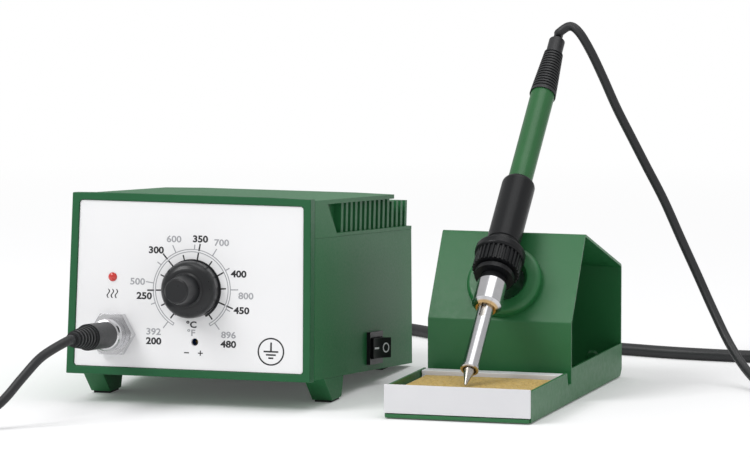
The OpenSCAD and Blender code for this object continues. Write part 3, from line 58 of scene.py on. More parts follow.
# Places and sizes of the source that the scene needs again
ORIGIN = np.array([54.0, 76.35101, 0.0])  # middle of the floor below the part, its cords left out
LEAN = math.radians(4.5)
CASE_D, CASE_W, CASE_TOP_W, CASE_H = 170.0, 120.0, 117.0, 84.0
REAR_RISE, REAR_DRAFT = 1.5, 3.4
PANEL_Y = 0.8
SOCKET_X, SOCKET_Z, PLUG_L = -37.0, 18.5, 57.0
GLAND_X, GLAND_Z, GLAND_L = -25.0, 22.0, 15.0
SWITCH_Y, SWITCH_Z = CASE_D - 67.7, 10.8
STAND = np.array([98.0, -7.2, 0.0])
STAND_W = 70.0
UPRIGHT_Y, BEND_Z = 73.2, 38.0
SLOPE_RUN, SLOPE_RISE = 25.6, 39.3
SLOPE = math.atan(SLOPE_RUN / SLOPE_RISE)
RING_UP, RING_EDGE_UP, RING_EDGE_OUT, RING_EDGE_R = 19.6, 15.5, 2.5, 2.5
IRON_LEAN = math.radians(48.0)
IRON_L, GRIP_R, TIP_POINT_R = 219.0, 8.0, 0.5
IRON_DIR = np.array([0.0, math.sin(IRON_LEAN), math.cos(IRON_LEAN)])
SPONGE_W, SPONGE_D, SPONGE_FOOT, SPONGE_TOP = 62.0, 54.0, 3.9, 14.3
TRAY_FRONT = 2.0
MOVE_GAP = 0.35


def place(points):
    """Table millimetres to metres of the model's frame: the point less the origin, over a thousand."""
    return (np.asarray(points, float) - ORIGIN) / MM


def case_point(points):
    """Case millimetres to table millimetres: turned back by the lean about the back wall's bottom edge."""
    p = np.asarray(points, float)
    y, z = p[..., 1] - CASE_D, p[..., 2]
    return np.stack([p[..., 0], CASE_D + y * math.cos(LEAN) + z * math.sin(LEAN),
                     REAR_RISE - y * math.sin(LEAN) + z * math.cos(LEAN)], -1)


def panel_point(points):
    """Panel millimetres (right, up, out of the panel) to table millimetres."""
    p = np.asarray(points, float)
    return case_point(np.stack([p[..., 0], PANEL_Y - p[..., 2], p[..., 1]], -1))


def iron_foot():
    """Point of the tip: above the sponge by the gap, as the grip is above the holder ring's rounded edge."""
    up = RING_UP + RING_EDGE_UP
    edge_y = UPRIGHT_Y + up * math.sin(SLOPE) - RING_EDGE_OUT * math.cos(SLOPE)
    edge_z = BEND_Z + up * math.cos(SLOPE) + RING_EDGE_OUT * math.sin(SLOPE)
    rest_r = RING_EDGE_R + GRIP_R + MOVE_GAP
    tip_z = SPONGE_TOP + MOVE_GAP + TIP_POINT_R * math.sin(IRON_LEAN)
    tip_y = edge_y - (rest_r + (edge_z - tip_z) * math.sin(IRON_LEAN)) / math.cos(IRON_LEAN)
    return STAND + [STAND_W / 2, tip_y, tip_z]


IRON_FOOT = iron_foot()


def linked(name, data):
    """A new object with this data, in the scene."""
    made = bpy.data.objects.new(name, data)
    bpy.context.scene.collection.objects.link(made)
    return made


# Camera at the photograph's viewing angle, its focal length worked out in pixels
CAMERA_AT = [859.1, -2567.3, 387.54]
CAMERA_DOWN, CAMERA_TURN = 0.111675, 0.290464
FOCAL_PIXELS, FRAME_PIXELS, SENSOR_W, FARTHEST = 5851.55, 750.0, 36.0, 30.0

camera_data = bpy.data.cameras.new("studio_camera")
camera_data.sensor_fit = "HORIZONTAL"
camera_data.sensor_width = SENSOR_W
camera_data.lens = FOCAL_PIXELS * SENSOR_W / FRAME_PIXELS
camera_data.clip_end = FARTHEST
camera = linked("studio_camera", camera_data)
camera.location = place(CAMERA_AT)
camera.rotation_euler = (math.pi / 2 - CAMERA_DOWN, 0.0, CAMERA_TURN)
bpy.context.scene.camera = camera


def mesh_piece(name, vertices, faces, body, smooth=True):
    """A mesh object of these table points, riding on a body of the model."""
    mesh = bpy.data.meshes.new(name)
    mesh.from_pydata(place(vertices).tolist(), [], [tuple(int(i) for i in f) for f in faces])
    mesh.polygons.foreach_set("use_smooth", [smooth] * len(mesh.polygons))
    mesh.update()
    piece = linked(name, mesh)
    if body:
        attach(piece, body)
    return piece


def mesh_points(mesh):
    """A mesh's vertices as rows of an array."""
    points = np.empty(len(mesh.vertices) * 3)
    mesh.vertices.foreach_get("co", points)
    return points.reshape(-1, 3)


def ring_faces(rows, cols):
    """Quads between neighbouring rows of a grid whose rows are closed rings."""
    i, k = np.meshgrid(np.arange(rows - 1), np.arange(cols), indexing="ij")
    n = (k + 1) % cols
    return np.stack([i * cols + k, i * cols + n, (i + 1) * cols + n, (i + 1) * cols + k], -1).reshape(-1, 4)


def carried_frames(path, up):
    """Side and up at each point of a path, the up direction carried along without twist."""
    tangent = np.gradient(path, axis=0)
    tangent /= np.linalg.norm(tangent, axis=1)[:, None]
    ups = np.empty_like(path)
    u = np.asarray(up, float)
    for i, t in enumerate(tangent):
        u = u - (u @ t) * t
        u /= np.linalg.norm(u)
        ups[i] = u
    return np.cross(tangent, ups), ups


def tube_mesh(path, radius, up):
    """Vertices and faces of a round tube: a circle of the radius at each path point, and closed ends."""
    side, ups = carried_frames(path, up)
    a = np.linspace(0, 2 * math.pi, TUBE_SIDES, endpoint=False)
    ring = np.cos(a)[None, :, None] * ups[:, None, :] + np.sin(a)[None, :, None] * -side[:, None, :]
    vertices = (path[:, None, :] + radius * ring).reshape(-1, 3)
    last = (len(path) - 1) * TUBE_SIDES
    faces = [tuple(f) for f in ring_faces(len(path), TUBE_SIDES)]
    faces.append(tuple(range(TUBE_SIDES - 1, -1, -1)))
    faces.append(tuple(range(last, last + TUBE_SIDES)))
    return vertices, faces


def spline(control):
    """A smooth curve through the inner control points: each span is the cubic of its four neighbours."""
    p = np.asarray(control, float)
    t = (np.arange(SPAN_STEPS) / SPAN_STEPS)[None, :, None]
    a, b, c, d = (p[k:len(p) - 3 + k, None, :] for k in range(4))
    square, cube = 2 * a - 5 * b + 4 * c - d, 3 * b - a - 3 * c + d
    spans = 0.5 * (2 * b + (c - a) * t + square * t ** 2 + cube * t ** 3)
    return np.concatenate([spans.reshape(-1, 3), p[-2:-1]])


def cord_line(control):
    """The curve through a cord's points, its first and last stretch straight, square to what they meet."""
    p = np.asarray(control, float)
    return np.concatenate([p[:1], spline(p), p[-1:]])


# Cords: diameters, the source's routes over the table, and the coil of the mains lead behind the stand
IRON_CORD_D, MAINS_D = 4.4, 6.0
TUBE_SIDES, SPAN_STEPS, COIL_STEPS = 20, 6, 36
COIL_CENTRE = [264.0, 272.0]
COIL_TURNS, COIL_R, COIL_PITCH, COIL_LIFT, COIL_CLIMB = 6, 33.0, 6.7, 0.9, 0.5
TAIL_L, PLUG_AXIS_Z = 30.0, 11.5
IRON_ROUTE = [
    [134, 171, 166], [139, 172, 169], [144, 171, 166], [150, 170, 157], [156, 170, 145], [163, 170, 130],
    [171, 170, 115], [178, 170, 102], [187, 169, 86], [196, 167, 68], [205, 164, 51], [214, 159, 35],
    [224, 151, 20], [235, 140, 9], [247, 125, 3], [260, 105, 2.2], [273, 75, 2.2], [286, 38, 2.2],
    [297, -5, 2.2], [303, -50, 2.2], [304, -90, 2.2], [288, -119, 2.2], [245, -132, 2.2], [192, -144, 2.2],
    [140, -158, 2.2], [90, -172, 2.2], [40, -187, 2.2], [-8, -199, 2.2], [-50, -198, 2.2], [-77, -177, 2.2],
    [-87, -146, 2.2], [-81, -118, 2.2], [-70, -99, 4], [-60, -88, 12], [-52, -80, 23], [-45, -73, 32]]
MAINS_ROUTE = [
    [-26, 206, 20], [-30, 228, 13], [-33, 250, 6], [-28, 272, 3], [-13, 286, 3], [8, 289, 3], [27, 282, 3],
    [45, 269, 3], [66, 257, 3], [92, 250, 3], [120, 246, 3], [148, 240, 3], [172, 234, 3], [193, 231, 3],
    [213, 230, 3], [231, 230, 3.4]]


def coil_points():
    """Two layers of turns: the radius falls by a pitch a turn to the middle and grows again, and the height
    climbs by a pitch in a smooth step over half a turn there."""
    t = np.linspace(0, COIL_TURNS, COIL_TURNS * COIL_STEPS + 1)
    r = COIL_R + COIL_PITCH * COIL_TURNS / 4 - COIL_PITCH * np.minimum(t, COIL_TURNS - t)
    climb = np.clip((t - COIL_TURNS / 2 + COIL_CLIMB / 2) / COIL_CLIMB, 0, 1)
    z = MAINS_D / 2 + COIL_LIFT + COIL_PITCH * climb ** 2 * (3 - 2 * climb)
    a = 2 * math.pi * t - math.pi / 2
    return np.stack([COIL_CENTRE[0] + r * np.cos(a), COIL_CENTRE[1] + r * np.sin(a), z], -1)


iron_end = IRON_FOOT + IRON_L * IRON_DIR
plug_dir = np.array([0.0, -math.cos(LEAN), math.sin(LEAN)])
plug_end = case_point([SOCKET_X, PANEL_Y, SOCKET_Z]) + PLUG_L * plug_dir
iron_path = cord_line([iron_end, iron_end + IRON_CORD_D * IRON_DIR, *IRON_ROUTE,
                       plug_end + IRON_CORD_D * plug_dir, plug_end])

back_angle = LEAN - math.atan(REAR_DRAFT / CASE_H)
back_dir = np.array([0.0, math.cos(back_angle), -math.sin(back_angle)])
gland_foot = case_point([GLAND_X, CASE_D - REAR_DRAFT * GLAND_Z / CASE_H, GLAND_Z])
gland_end = gland_foot + GLAND_L * back_dir
coil = coil_points()
coil_step = np.array([MAINS_D, 0.0, 0.0])
coil_start, coil_end = coil[0] - coil_step, coil[-1] + coil_step
plug_start = np.array([coil_end[0] + TAIL_L, coil_end[1], PLUG_AXIS_Z])
mains_path = np.concatenate([
    cord_line([gland_end, gland_end + MAINS_D * back_dir, *MAINS_ROUTE, coil_start - coil_step, coil_start]),
    coil,
    cord_line([coil_end, coil_end + coil_step, plug_start - coil_step, plug_start])])

iron_cord = mesh_piece("iron_lead", *tube_mesh(iron_path, IRON_CORD_D / 2, [1, 0, 0]), None)
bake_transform(iron_cord)
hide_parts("iron_cord")

mains_cord = mesh_piece("mains_lead", *tube_mesh(mains_path, MAINS_D / 2, [0, 0, 1]), "station")
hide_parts("mains_cord", "mains_coil", "mains_tail")


# Shared by all finishes: where most of a noise lies, the soft edge of a spot, the strength of the relief
NOISE_LOW, NOISE_HIGH, SPOT_EDGE, RELIEF_STRENGTH = 0.3, 0.7, 0.08, 0.6


def linear(code):
    """Linear colour of an sRGB hex value."""
    c = np.array([int(code[i:i + 2], 16) for i in (1, 3, 5)]) / 255.0
    return tuple(np.where(c <= 0.04045, c / 12.92, ((c + 0.055) / 1.055) ** 2.4)) + (1.0,)


def add(tree, kind, inputs=None, **settings):
    """Adds a shader node: its settings by name, its inputs as values or as other nodes' outputs."""
    made = tree.nodes.new(kind)
    for name, value in settings.items():
        setattr(made, name, value)
    for name, value in (inputs or {}).items():
        if isinstance(value, bpy.types.NodeSocket):
            tree.links.new(value, made.inputs[name])
        else:
            made.inputs[name].default_value = value
    return made


def finish(name, base, shade, patch, grain, depth, rough, metallic=0.0, turn=(0, 0, 0), stretch=(1, 1, 1),
           painted_pore_shade=None, tint=None, **sockets):
    """A surface with slow colour patches and fine relief (patch, grain and depth in mm), its roughness
    wandering between two values with the grain.

    turn brings a piece's own axis to Z, and stretch makes the pattern longer along an axis. The small dark
    spots, painted shade inside pores, are given as a colour, a size in mm and a share. tint is the colour
    that an end of the piece takes, and where that starts and is full, in metres along Z."""
    made = bpy.data.materials.new(name)
    made.use_nodes = True
    tree = made.node_tree
    tree.nodes.clear()
    own = add(tree, "ShaderNodeTexCoord")
    mapped = add(tree, "ShaderNodeMapping",
                 {"Vector": own.outputs["Object"], "Rotation": turn, "Scale": stretch},
                 vector_type="TEXTURE")
    where = mapped.outputs["Vector"]
    patches = add(tree, "ShaderNodeTexNoise",
                  {"Vector": where, "Scale": MM / patch, "Detail": 3.0, "Roughness": 0.6})
    fine = add(tree, "ShaderNodeTexNoise",
               {"Vector": where, "Scale": MM / grain, "Detail": 4.0, "Roughness": 0.62})
    spread = add(tree, "ShaderNodeMapRange",
                 {"Value": patches.outputs[0], "From Min": NOISE_LOW, "From Max": NOISE_HIGH})
    colour = add(tree, "ShaderNodeMix", {0: spread.outputs["Result"], 6: linear(base), 7: linear(shade)},
                 data_type="RGBA").outputs[2]
    if tint:
        apart = add(tree, "ShaderNodeSeparateXYZ", {"Vector": where})
        along = add(tree, "ShaderNodeMapRange",
                    {"Value": apart.outputs["Z"], "From Min": tint[1], "From Max": tint[2]},
                    interpolation_type="SMOOTHSTEP")
        colour = add(tree, "ShaderNodeMix", {0: along.outputs["Result"], 6: colour, 7: linear(tint[0])},
                     data_type="RGBA").outputs[2]
    # Small dark spots: painted shade inside pores
    if painted_pore_shade:
        spots = add(tree, "ShaderNodeTexVoronoi", {"Vector": where, "Scale": MM / painted_pore_shade[1]})
        near = add(tree, "ShaderNodeMapRange",
                   {"Value": spots.outputs["Distance"], "From Min": painted_pore_shade[2],
                    "From Max": painted_pore_shade[2] + SPOT_EDGE, "To Min": 1.0, "To Max": 0.0})
        colour = add(tree, "ShaderNodeMix", {0: near.outputs["Result"], 6: colour, 7: linear(painted_pore_shade[0])},
                     data_type="RGBA").outputs[2]
    gloss = add(tree, "ShaderNodeMapRange",
                {"Value": fine.outputs[0], "From Min": NOISE_LOW, "From Max": NOISE_HIGH,
                 "To Min": rough[0], "To Max": rough[1]})
    relief = add(tree, "ShaderNodeBump",
                 {"Height": fine.outputs[0], "Strength": RELIEF_STRENGTH, "Distance": depth / MM})
    shader = add(tree, "ShaderNodeBsdfPrincipled",
                 {"Base Color": colour, "Roughness": gloss.outputs["Result"],
                  "Normal": relief.outputs["Normal"], "Metallic": metallic})
    for socket, value in sockets.items():
        shader.inputs[socket.replace("_", " ")].default_value = value
    add(tree, "ShaderNodeOutputMaterial", {"Surface": shader.outputs["BSDF"]})
    return made


# Heat tints of the iron, measured along its axis from the tip: where they start and where they are full
IRON_TURN = (-IRON_LEAN, 0, 0)
TIP_ALONG = float(place(IRON_FOOT) @ IRON_DIR)
SLEEVE_TINT = ("#c9ab7c", TIP_ALONG + 0.0098, TIP_ALONG + 0.0082)
NUT_TINT = ("#c4a577", TIP_ALONG + 0.0482, TIP_ALONG + 0.0474)

# Moulded ABS, spark-eroded: a dry satin green whose grain breaks up the highlight, drawn at 0.9 mm to show
abs_green = finish("moulded_green_abs", "#296f42", "#25693d", 60, 0.9, 0.04, (0.42, 0.55),
                   Specular_IOR_Level=0.3)
# The same ABS on the front bezel, painted a little darker and deeper in colour: painted shade of the
# front-facing frame
bezel_abs_painted_shade = finish("moulded_green_bezel_painted_shade", "#205f39", "#1e5b36", 50, 0.9, 0.03, (0.38, 0.5),
                   Specular_IOR_Level=0.3)
# Powder coat on sheet steel: smooth green with a slight orange peel
powder_green = finish("green_powder_coat", "#246a3b", "#206536", 80, 2.4, 0.04, (0.34, 0.46))
# White powder coat on the sponge's tray: smooth, with a slight orange peel
powder_white = finish("white_powder_coat", "#e0e0e2", "#dadadd", 60, 2.4, 0.03, (0.34, 0.46))
# Printed polycarbonate panel: near white, smooth and a little glossy
panel_white = finish("printed_panel_sheet", "#f3f3f4", "#f0f0f1", 70, 1.6, 0.006, (0.3, 0.38))
# Satin black ABS of the switch, the grip and the mains plug: soft, broad highlights
satin_black = finish("satin_black_abs", "#141517", "#18191b", 40, 0.8, 0.02, (0.28, 0.4),
                     Specular_IOR_Level=0.22)
# Moulded black ABS of the knob, its skirt polished to a clear highlight
knob_black = finish("knob_black_abs", "#1b1c1e", "#1f2022", 30, 1.8, 0.001, (0.27, 0.31),
                    Specular_IOR_Level=0.4)
# Black PVC of cords, boots and gland: soft and dull, slightly greyed by handling
pvc_black = finish("black_cord_pvc", "#1d1e20", "#242527", 25, 0.7, 0.03, (0.4, 0.54))
# Black rubber of the pads: dry, no highlight
rubber_pads = finish("black_rubber_pads", "#191a1c", "#232427", 20, 0.7, 0.08, (0.7, 0.85))
# Smooth green polyamide of the handle, worn satin by the hand
handle_nylon = finish("green_handle_nylon", "#1f6330", "#1b5a2b", 40, 0.9, 0.02, (0.3, 0.42))
# Bright nickel plate on turned brass: a clear shine over slightly uneven metal
nickel = finish("bright_nickel_plate", "#d6d6d8", "#cdcdcf", 14, 0.7, 0.002, (0.14, 0.22), 1.0)
# Turned stainless sleeve: lines round its axis, warmed to straw near the tip by heat
sleeve_steel = finish("turned_sleeve_steel", "#cdcdcf", "#c3c3c6", 9, 0.5, 0.002, (0.16, 0.26), 1.0,
                      turn=IRON_TURN, stretch=(8, 8, 1), tint=SLEEVE_TINT)
# Nickel plate on the iron's nut, browned by heat on the cone that faces the tip
nut_plate = finish("heated_nut_plate", "#d2d2d4", "#c8c8cb", 14, 0.7, 0.002, (0.14, 0.22), 1.0,
                   turn=IRON_TURN, tint=NUT_TINT)
# Tip: iron-plated copper, tinned at its point, dulled by heat behind it
tip_metal = finish("plated_tip", "#c6c3be", "#a8a39c", 4, 0.6, 0.008, (0.2, 0.36), 1.0)
# Zinc-plated steel of screws, strap, shaft, sleeve and blades: grey, finely spangled
zinc_steel = finish("zinc_plated_steel", "#b9bbbe", "#a6a8ac", 5, 0.6, 0.005, (0.26, 0.4), 1.0)
# Turned brass of the trimmer's screw: warm, slightly dulled
brass = finish("turned_brass", "#c3a868", "#b3965a", 6, 0.6, 0.01, (0.2, 0.32), 1.0)
# White alumina of the heating element: dry, chalky
alumina = finish("alumina_ceramic", "#efece4", "#e6e2d8", 8, 0.5, 0.02, (0.55, 0.7))
# Red diffusing lens of the lamp: cast epoxy, glossy outside, with a faint glow from within
lens_red = finish("red_lamp_epoxy", "#c32219", "#b81d15", 3, 0.5, 0.002, (0.06, 0.12),
                  Transmission_Weight=0.1, Emission_Color=linear("#d8352a"), Emission_Strength=0.16,
                  Coat_Weight=1.0, Coat_Roughness=0.03)
# Lacquered glass-epoxy board, with the paler marks of its tracks under the lacquer
board_laminate = finish("lacquered_board", "#1d6b3c", "#2a7f4c", 5, 0.5, 0.02, (0.22, 0.34))
# Dark cast epoxy of the pieces on the board: smooth, with a dull shine
case_epoxy = finish("component_epoxy", "#222327", "#2e2f34", 6, 0.6, 0.02, (0.3, 0.45))
# Varnished transformer laminations: dark iron with fine lines between the sheets
lamination = finish("varnished_laminations", "#44434a", "#35343a", 12, 0.5, 0.03, (0.35, 0.5), 0.6,
                    stretch=(10, 1, 10))
# Yellow polyester tape over the winding: a slight shine, with lines along its turns
winding_tape = finish("winding_tape", "#c08a3e", "#a8712c", 6, 0.5, 0.03, (0.35, 0.5), stretch=(1, 1, 5))
# Blue cast epoxy of the trimmer: smooth
trimmer_blue = finish("trimmer_blue_epoxy", "#33599f", "#2c4e8e", 4, 0.4, 0.01, (0.25, 0.35))
# Cellulose sponge: open pores over a fibrous skin, dull, a little darker where it is damp; its small dark
# spots are painted shade inside the pores
sponge_cellulose = finish("cellulose_sponge", "#cbad62", "#a98b43", 1.8, 0.7, 0.3, (0.85, 0.95),
                          painted_pore_shade=("#8f7434", 1.1, 0.2), Sheen_Weight=0.15)
# Screen-printed inks of the panel and the pad-printed one of the rocker: flat, satin films
ink_black = finish("black_screen_ink", "#1b1c1f", "#202124", 5, 0.5, 0.002, (0.35, 0.45))
ink_grey = finish("grey_screen_ink", "#a9aaae", "#a3a4a8", 5, 0.5, 0.002, (0.35, 0.45))
ink_white = finish("white_pad_ink", "#ececee", "#e4e4e6", 5, 0.5, 0.002, (0.35, 0.45))

# Material, the record's slot, and the nodes that have both
DRESS = [
    (abs_green, "green_plastic", ["case_cover", "case_base", "left_foot", "right_foot"]),
    (bezel_abs_painted_shade, "green_plastic", ["front_bezel"]),
    (panel_white, "panel_plastic", ["front_panel"]),
    (powder_green, "green_paint", ["stand_upright", "stand_base"]),
    (powder_green, "green_plastic", ["holder_ring"]),
    (powder_green, "steel", ["stand_rivets"]),
    (powder_white, "white_sheet", ["sponge_tray"]),
    (satin_black, "black_plastic", ["switch_body", "switch_rocker", "grip_guard", "iron_grip", "iron_collar",
                                    "mains_plug", "socket_insert", "pot_body"]),
    (knob_black, "black_plastic", ["temperature_knob"]),
    (pvc_black, "black_rubber", ["iron_cord", "mains_cord", "mains_coil", "mains_tail", "iron_boot",
                                 "plug_boot", "plug_body", "cord_gland", "mains_boot", "coil_tie"]),
    (rubber_pads, "black_rubber", ["foot_pads", "stand_pads"]),
    (handle_nylon, "handle_green", ["iron_handle"]),
    (nickel, "nickel", ["socket_nut", "socket_shell", "plug_ring", "pot_nut"]),
    (nut_plate, "nickel", ["sleeve_nut"]),
    (sleeve_steel, "steel", ["tip_sleeve"]),
    (tip_metal, "tip_plate", ["iron_tip"]),
    (zinc_steel, "steel", ["case_screws", "holder_sleeve", "pot_shaft", "transformer_frame", "mains_pins"]),
    (brass, "brass_part", ["trimmer_screw"]),
    (alumina, "ceramic", ["heater_element"]),
    (lens_red, "lamp_red", ["status_lamp"]),
    (board_laminate, "board", ["circuit_board"]),
    (case_epoxy, "parts", ["board_parts"]),
    (lamination, "core", ["transformer_core"]),
    (winding_tape, "winding", ["transformer_winding"]),
    (trimmer_blue, "blue_case", ["trimmer_body"]),
    (sponge_cellulose, "sponge_cellulose", ["sponge"]),
]
DRESS_OF = {node: (material, slot) for material, slot, nodes in DRESS for node in nodes}
BODY_OF = {n: body for body, members in frame["record"]["behaviour"]["bodies"].items() for n in members}


def wear(piece, material):
    """Gives a piece one material in one slot."""
    piece.data.materials.clear()
    piece.data.materials.append(material)


for cad_name, cad_piece in NODES.items():
    wear(cad_piece, DRESS_OF[cad_name][0])
wear(iron_cord, pvc_black)
wear(mains_cord, pvc_black)

# Node, name of its softened copy, and the width of its rounded edges in millimetres
SOFT_EDGES = [
    ("case_cover", "cover_shell", 0.35),
    ("case_base", "base_shell", 0.3),
    ("left_foot", "left_front_foot", 0.35),
    ("right_foot", "right_front_foot", 0.35),
    ("front_bezel", "bezel_frame", 0.45),
    ("stand_base", "stand_pan", 0.3),
    ("stand_upright", "stand_bent_sheet", 0.3),
    ("sponge_tray", "tray_pan", 0.3),
    ("switch_rocker", "rocker_key", 0.35),
    ("switch_body", "switch_frame", 0.3),
    ("socket_nut", "socket_hex_nut", 0.3),
    ("holder_ring", "holder_grommet", 0.2),
]
WELD = 4e-6  # metres within which two corners are one
FLAT_ANGLE, SHARP_ANGLE = math.radians(0.4), math.radians(32.0)


def softened(node, name, width):
    """A copy of a node, its loose triangles joined, its sharp edges rounded by a width in millimetres."""
    source = NODES[node].data
    material, slot = DRESS_OF[node]
    mesh = bpy.data.meshes.new(name)
    mesh.from_pydata(mesh_points(source).tolist(), [], [tuple(p.vertices) for p in source.polygons])
    work = bmesh.new()
    work.from_mesh(mesh)
    bmesh.ops.remove_doubles(work, verts=work.verts, dist=WELD)
    bmesh.ops.dissolve_limit(work, angle_limit=FLAT_ANGLE, verts=work.verts, edges=work.edges)
    bmesh.ops.recalc_face_normals(work, faces=work.faces)
    work.to_mesh(mesh)
    work.free()
    mesh.polygons.foreach_set("use_smooth", [True] * len(mesh.polygons))
    piece = linked(name, mesh)
    edges = piece.modifiers.new("rounded_edges", "BEVEL")
    edges.width = width / MM
    edges.segments = 2
    edges.limit_method = "ANGLE"
    edges.angle_limit = SHARP_ANGLE
    edges.harden_normals = True
    edges.use_clamp_overlap = True
    edges.miter_outer = "MITER_ARC"
    wear(piece, material)
    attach(piece, BODY_OF[node])
    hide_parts(node)


for soft_node, soft_name, soft_width in SOFT_EDGES:
    softened(soft_node, soft_name, soft_width)

# Thin ink on the panel and the rocker
INK_LIFT, INK_FILM = 0.05, 0.03
LETTER_WIDER, LETTER_STEPS = 1.16, 3  # the built-in face is narrower than the printed one


def marks(name, parts, surface, material, body="station"):
    """Ink on a surface: flat outlines (right, up) lifted a hair above it, each with its own faces."""
    vertices, faces, base = [], [], 0
    for outline, part_faces in parts:
        vertices.append(np.column_stack([outline, np.full(len(outline), INK_LIFT)]))
        faces += [tuple(base + int(i) for i in f) for f in part_faces]
        base += len(outline)
    piece = mesh_piece(name, surface(np.concatenate(vertices)), faces, body, smooth=False)
    film = piece.modifiers.new("ink_film", "SOLIDIFY")
    film.thickness = INK_FILM / MM
    film.offset = -1.0
    wear(piece, material)


def strip(left, right):
    """Quads between two lines of as many points."""
    n = len(left)
    return np.concatenate([left, right]), [(i, i + n, i + n + 1, i + 1) for i in range(n - 1)]


def arc_band(radii, start, end, centre, steps=96):
    """A strip between two radii from one angle to another, in degrees."""
    a = np.radians(np.linspace(start, end, steps + 1))
    spoke = np.column_stack([np.cos(a), np.sin(a)])
    return strip(centre + radii[0] * spoke, centre + radii[1] * spoke)


def tick(angle, radii, width):
    """A thin bar on the dial that points away from its centre, between two radii."""
    a = math.radians(angle)
    along, side = np.array([math.cos(a), math.sin(a)]), np.array([-math.sin(a), math.cos(a)]) * width / 2
    inner, outer = DIAL + along * radii[0], DIAL + along * radii[1]
    return np.array([inner - side, outer - side, outer + side, inner + side]), [(0, 1, 2, 3)]


def bar(centre, width, height):
    """A plain upright rectangle about a centre."""
    x, y = centre
    left, right, low, high = x - width / 2, x + width / 2, y - height / 2, y + height / 2
    return np.array([[left, low], [right, low], [right, high], [left, high]]), [(0, 1, 2, 3)]


def wave(centre, height, width, swing, steps=24):
    """An upright ribbon whose middle swings by a full sine over its height."""
    t = np.linspace(-0.5, 0.5, steps + 1)
    x, y = centre[0] + swing * np.sin(2 * math.pi * t), centre[1] + height * t
    return strip(np.column_stack([x - width / 2, y]), np.column_stack([x + width / 2, y]))


def printed(text, at, size, weight):
    """Flat letters of the built-in plain face, a size high, fatter by a weight, widened, about a point."""
    curve = bpy.data.curves.new("print", "FONT")
    curve.body = text
    curve.offset = weight
    curve.resolution_u = LETTER_STEPS
    carrier = linked("print", curve)
    mesh = bpy.data.meshes.new_from_object(carrier)
    bpy.data.objects.remove(carrier)
    points = mesh_points(mesh)[:, :2]
    low, high = points.min(0), points.max(0)
    points = (points - (low + high) / 2) * size / (high[1] - low[1]) * [LETTER_WIDER, 1.0]
    return points + np.asarray(at), [tuple(p.vertices) for p in mesh.polygons]


# The dial's two scales: ticks as values, radii and width, numbers as their places from the dial's centre
DIAL = np.array([1.1, 40.4])
SCALE_START, BLACK_END, GREY_END = -60, 238, 242
BLACK_ARC = (13.3, 14.4)
GREY_ARCS, GREY_CLOSE, GREY_LINE = [(17.65, 18.05), (18.75, 19.15)], (17.65, 19.15), 0.4
BLACK_TICKS = [
    ((225, 275, 325, 375, 425), (14.3, 16.8), 0.62),
    ((200, 480), (14.3, 17.0), 0.68),
    ((250, 300, 350, 400, 450), (14.3, 17.6), 0.68),
    ((250, 300, 350, 450), (18.5, 21.9), 0.68),
]
GREY_TICKS = [
    ((392, 500, 600, 700, 800, 896), (19.1, 22.8), 0.5),
    ((450, 550, 650, 750, 850), (19.1, 21.2), 0.5),
]
BLACK_NUMBERS = [("200", -18.2, -24.5), ("250", -23.3, -3.5), ("300", -17.8, 18.1), ("350", 3.8, 23.9),
                 ("400", 22.8, 8.2), ("450", 24.6, -8.8), ("480", 18.5, -24.7)]
GREY_NUMBERS = [("392", -18.3, -20.1), ("500", -26.7, 3.1), ("600", -9.2, 23.5), ("700", 14.2, 22.5),
                ("800", 26.6, -1.9), ("896", 18.5, -20.4)]
BLACK_SIZE, BLACK_WEIGHT, GREY_SIZE, GREY_WEIGHT = 3.35, 0.034, 3.2, 0.022
C_AT, C_SIZE, C_WEIGHT = (0.2, -16.1), 3.3, 0.03
F_AT, F_SIZE, F_WEIGHT = (0.2, -19.9), 3.2, 0.02
MID_VALUE, MID_ANGLE, DEGREES_EACH = 340.0, 90.5, 1.02


def celsius(value):
    """Angle of a temperature on the dial, from the right, in degrees."""
    return MID_ANGLE + (MID_VALUE - value) * DEGREES_EACH


def fahrenheit(value):
    """The same angle for a temperature on the outer scale."""
    return celsius((value - 32.0) / 1.8)


def scale(angle_of, ticks, numbers, size, weight):
    """The ticks and numbers of one scale of the dial."""
    lines = [tick(angle_of(value), radii, width) for values, radii, width in ticks for value in values]
    return lines + [printed(text, DIAL + [u, v], size, weight) for text, u, v in numbers]


black_marks = [arc_band(BLACK_ARC, SCALE_START, BLACK_END, DIAL)]
black_marks += scale(celsius, BLACK_TICKS, BLACK_NUMBERS, BLACK_SIZE, BLACK_WEIGHT)
black_marks.append(printed("°C", DIAL + C_AT, C_SIZE, C_WEIGHT))
marks("dial_scale_black", black_marks, panel_point, ink_black)

grey_marks = [arc_band(radii, SCALE_START, GREY_END, DIAL) for radii in GREY_ARCS]
grey_marks += [tick(angle, GREY_CLOSE, GREY_LINE) for angle in (SCALE_START, GREY_END)]
grey_marks += scale(fahrenheit, GREY_TICKS, GREY_NUMBERS, GREY_SIZE, GREY_WEIGHT)
grey_marks.append(printed("°F", DIAL + F_AT, F_SIZE, F_WEIGHT))
marks("dial_scale_grey", grey_marks, panel_point, ink_grey)

# Plain signs beside the controls: heat under the lamp, less and more at the trimmer, earth in the corner
HEAT_AT, TRIM_AT, EARTH_AT = np.array([-38.0, 37.4]), np.array([2.6, 11.0]), np.array([40.5, 13.0])
WAVE_APART, WAVE_H, WAVE_W, WAVE_SWING = 2.0, 4.2, 0.55, 0.55
TRIM_APART, TRIM_L, TRIM_LINE = 3.4, 2.4, 0.5
EARTH_RING, EARTH_STEM, EARTH_STEM_UP = (5.8, 6.5), (0.8, 4.0), 2.3
EARTH_BAR, EARTH_BAR_LESS, EARTH_BAR_APART, EARTH_LINE = 7.2, 2.4, 1.5, 0.75

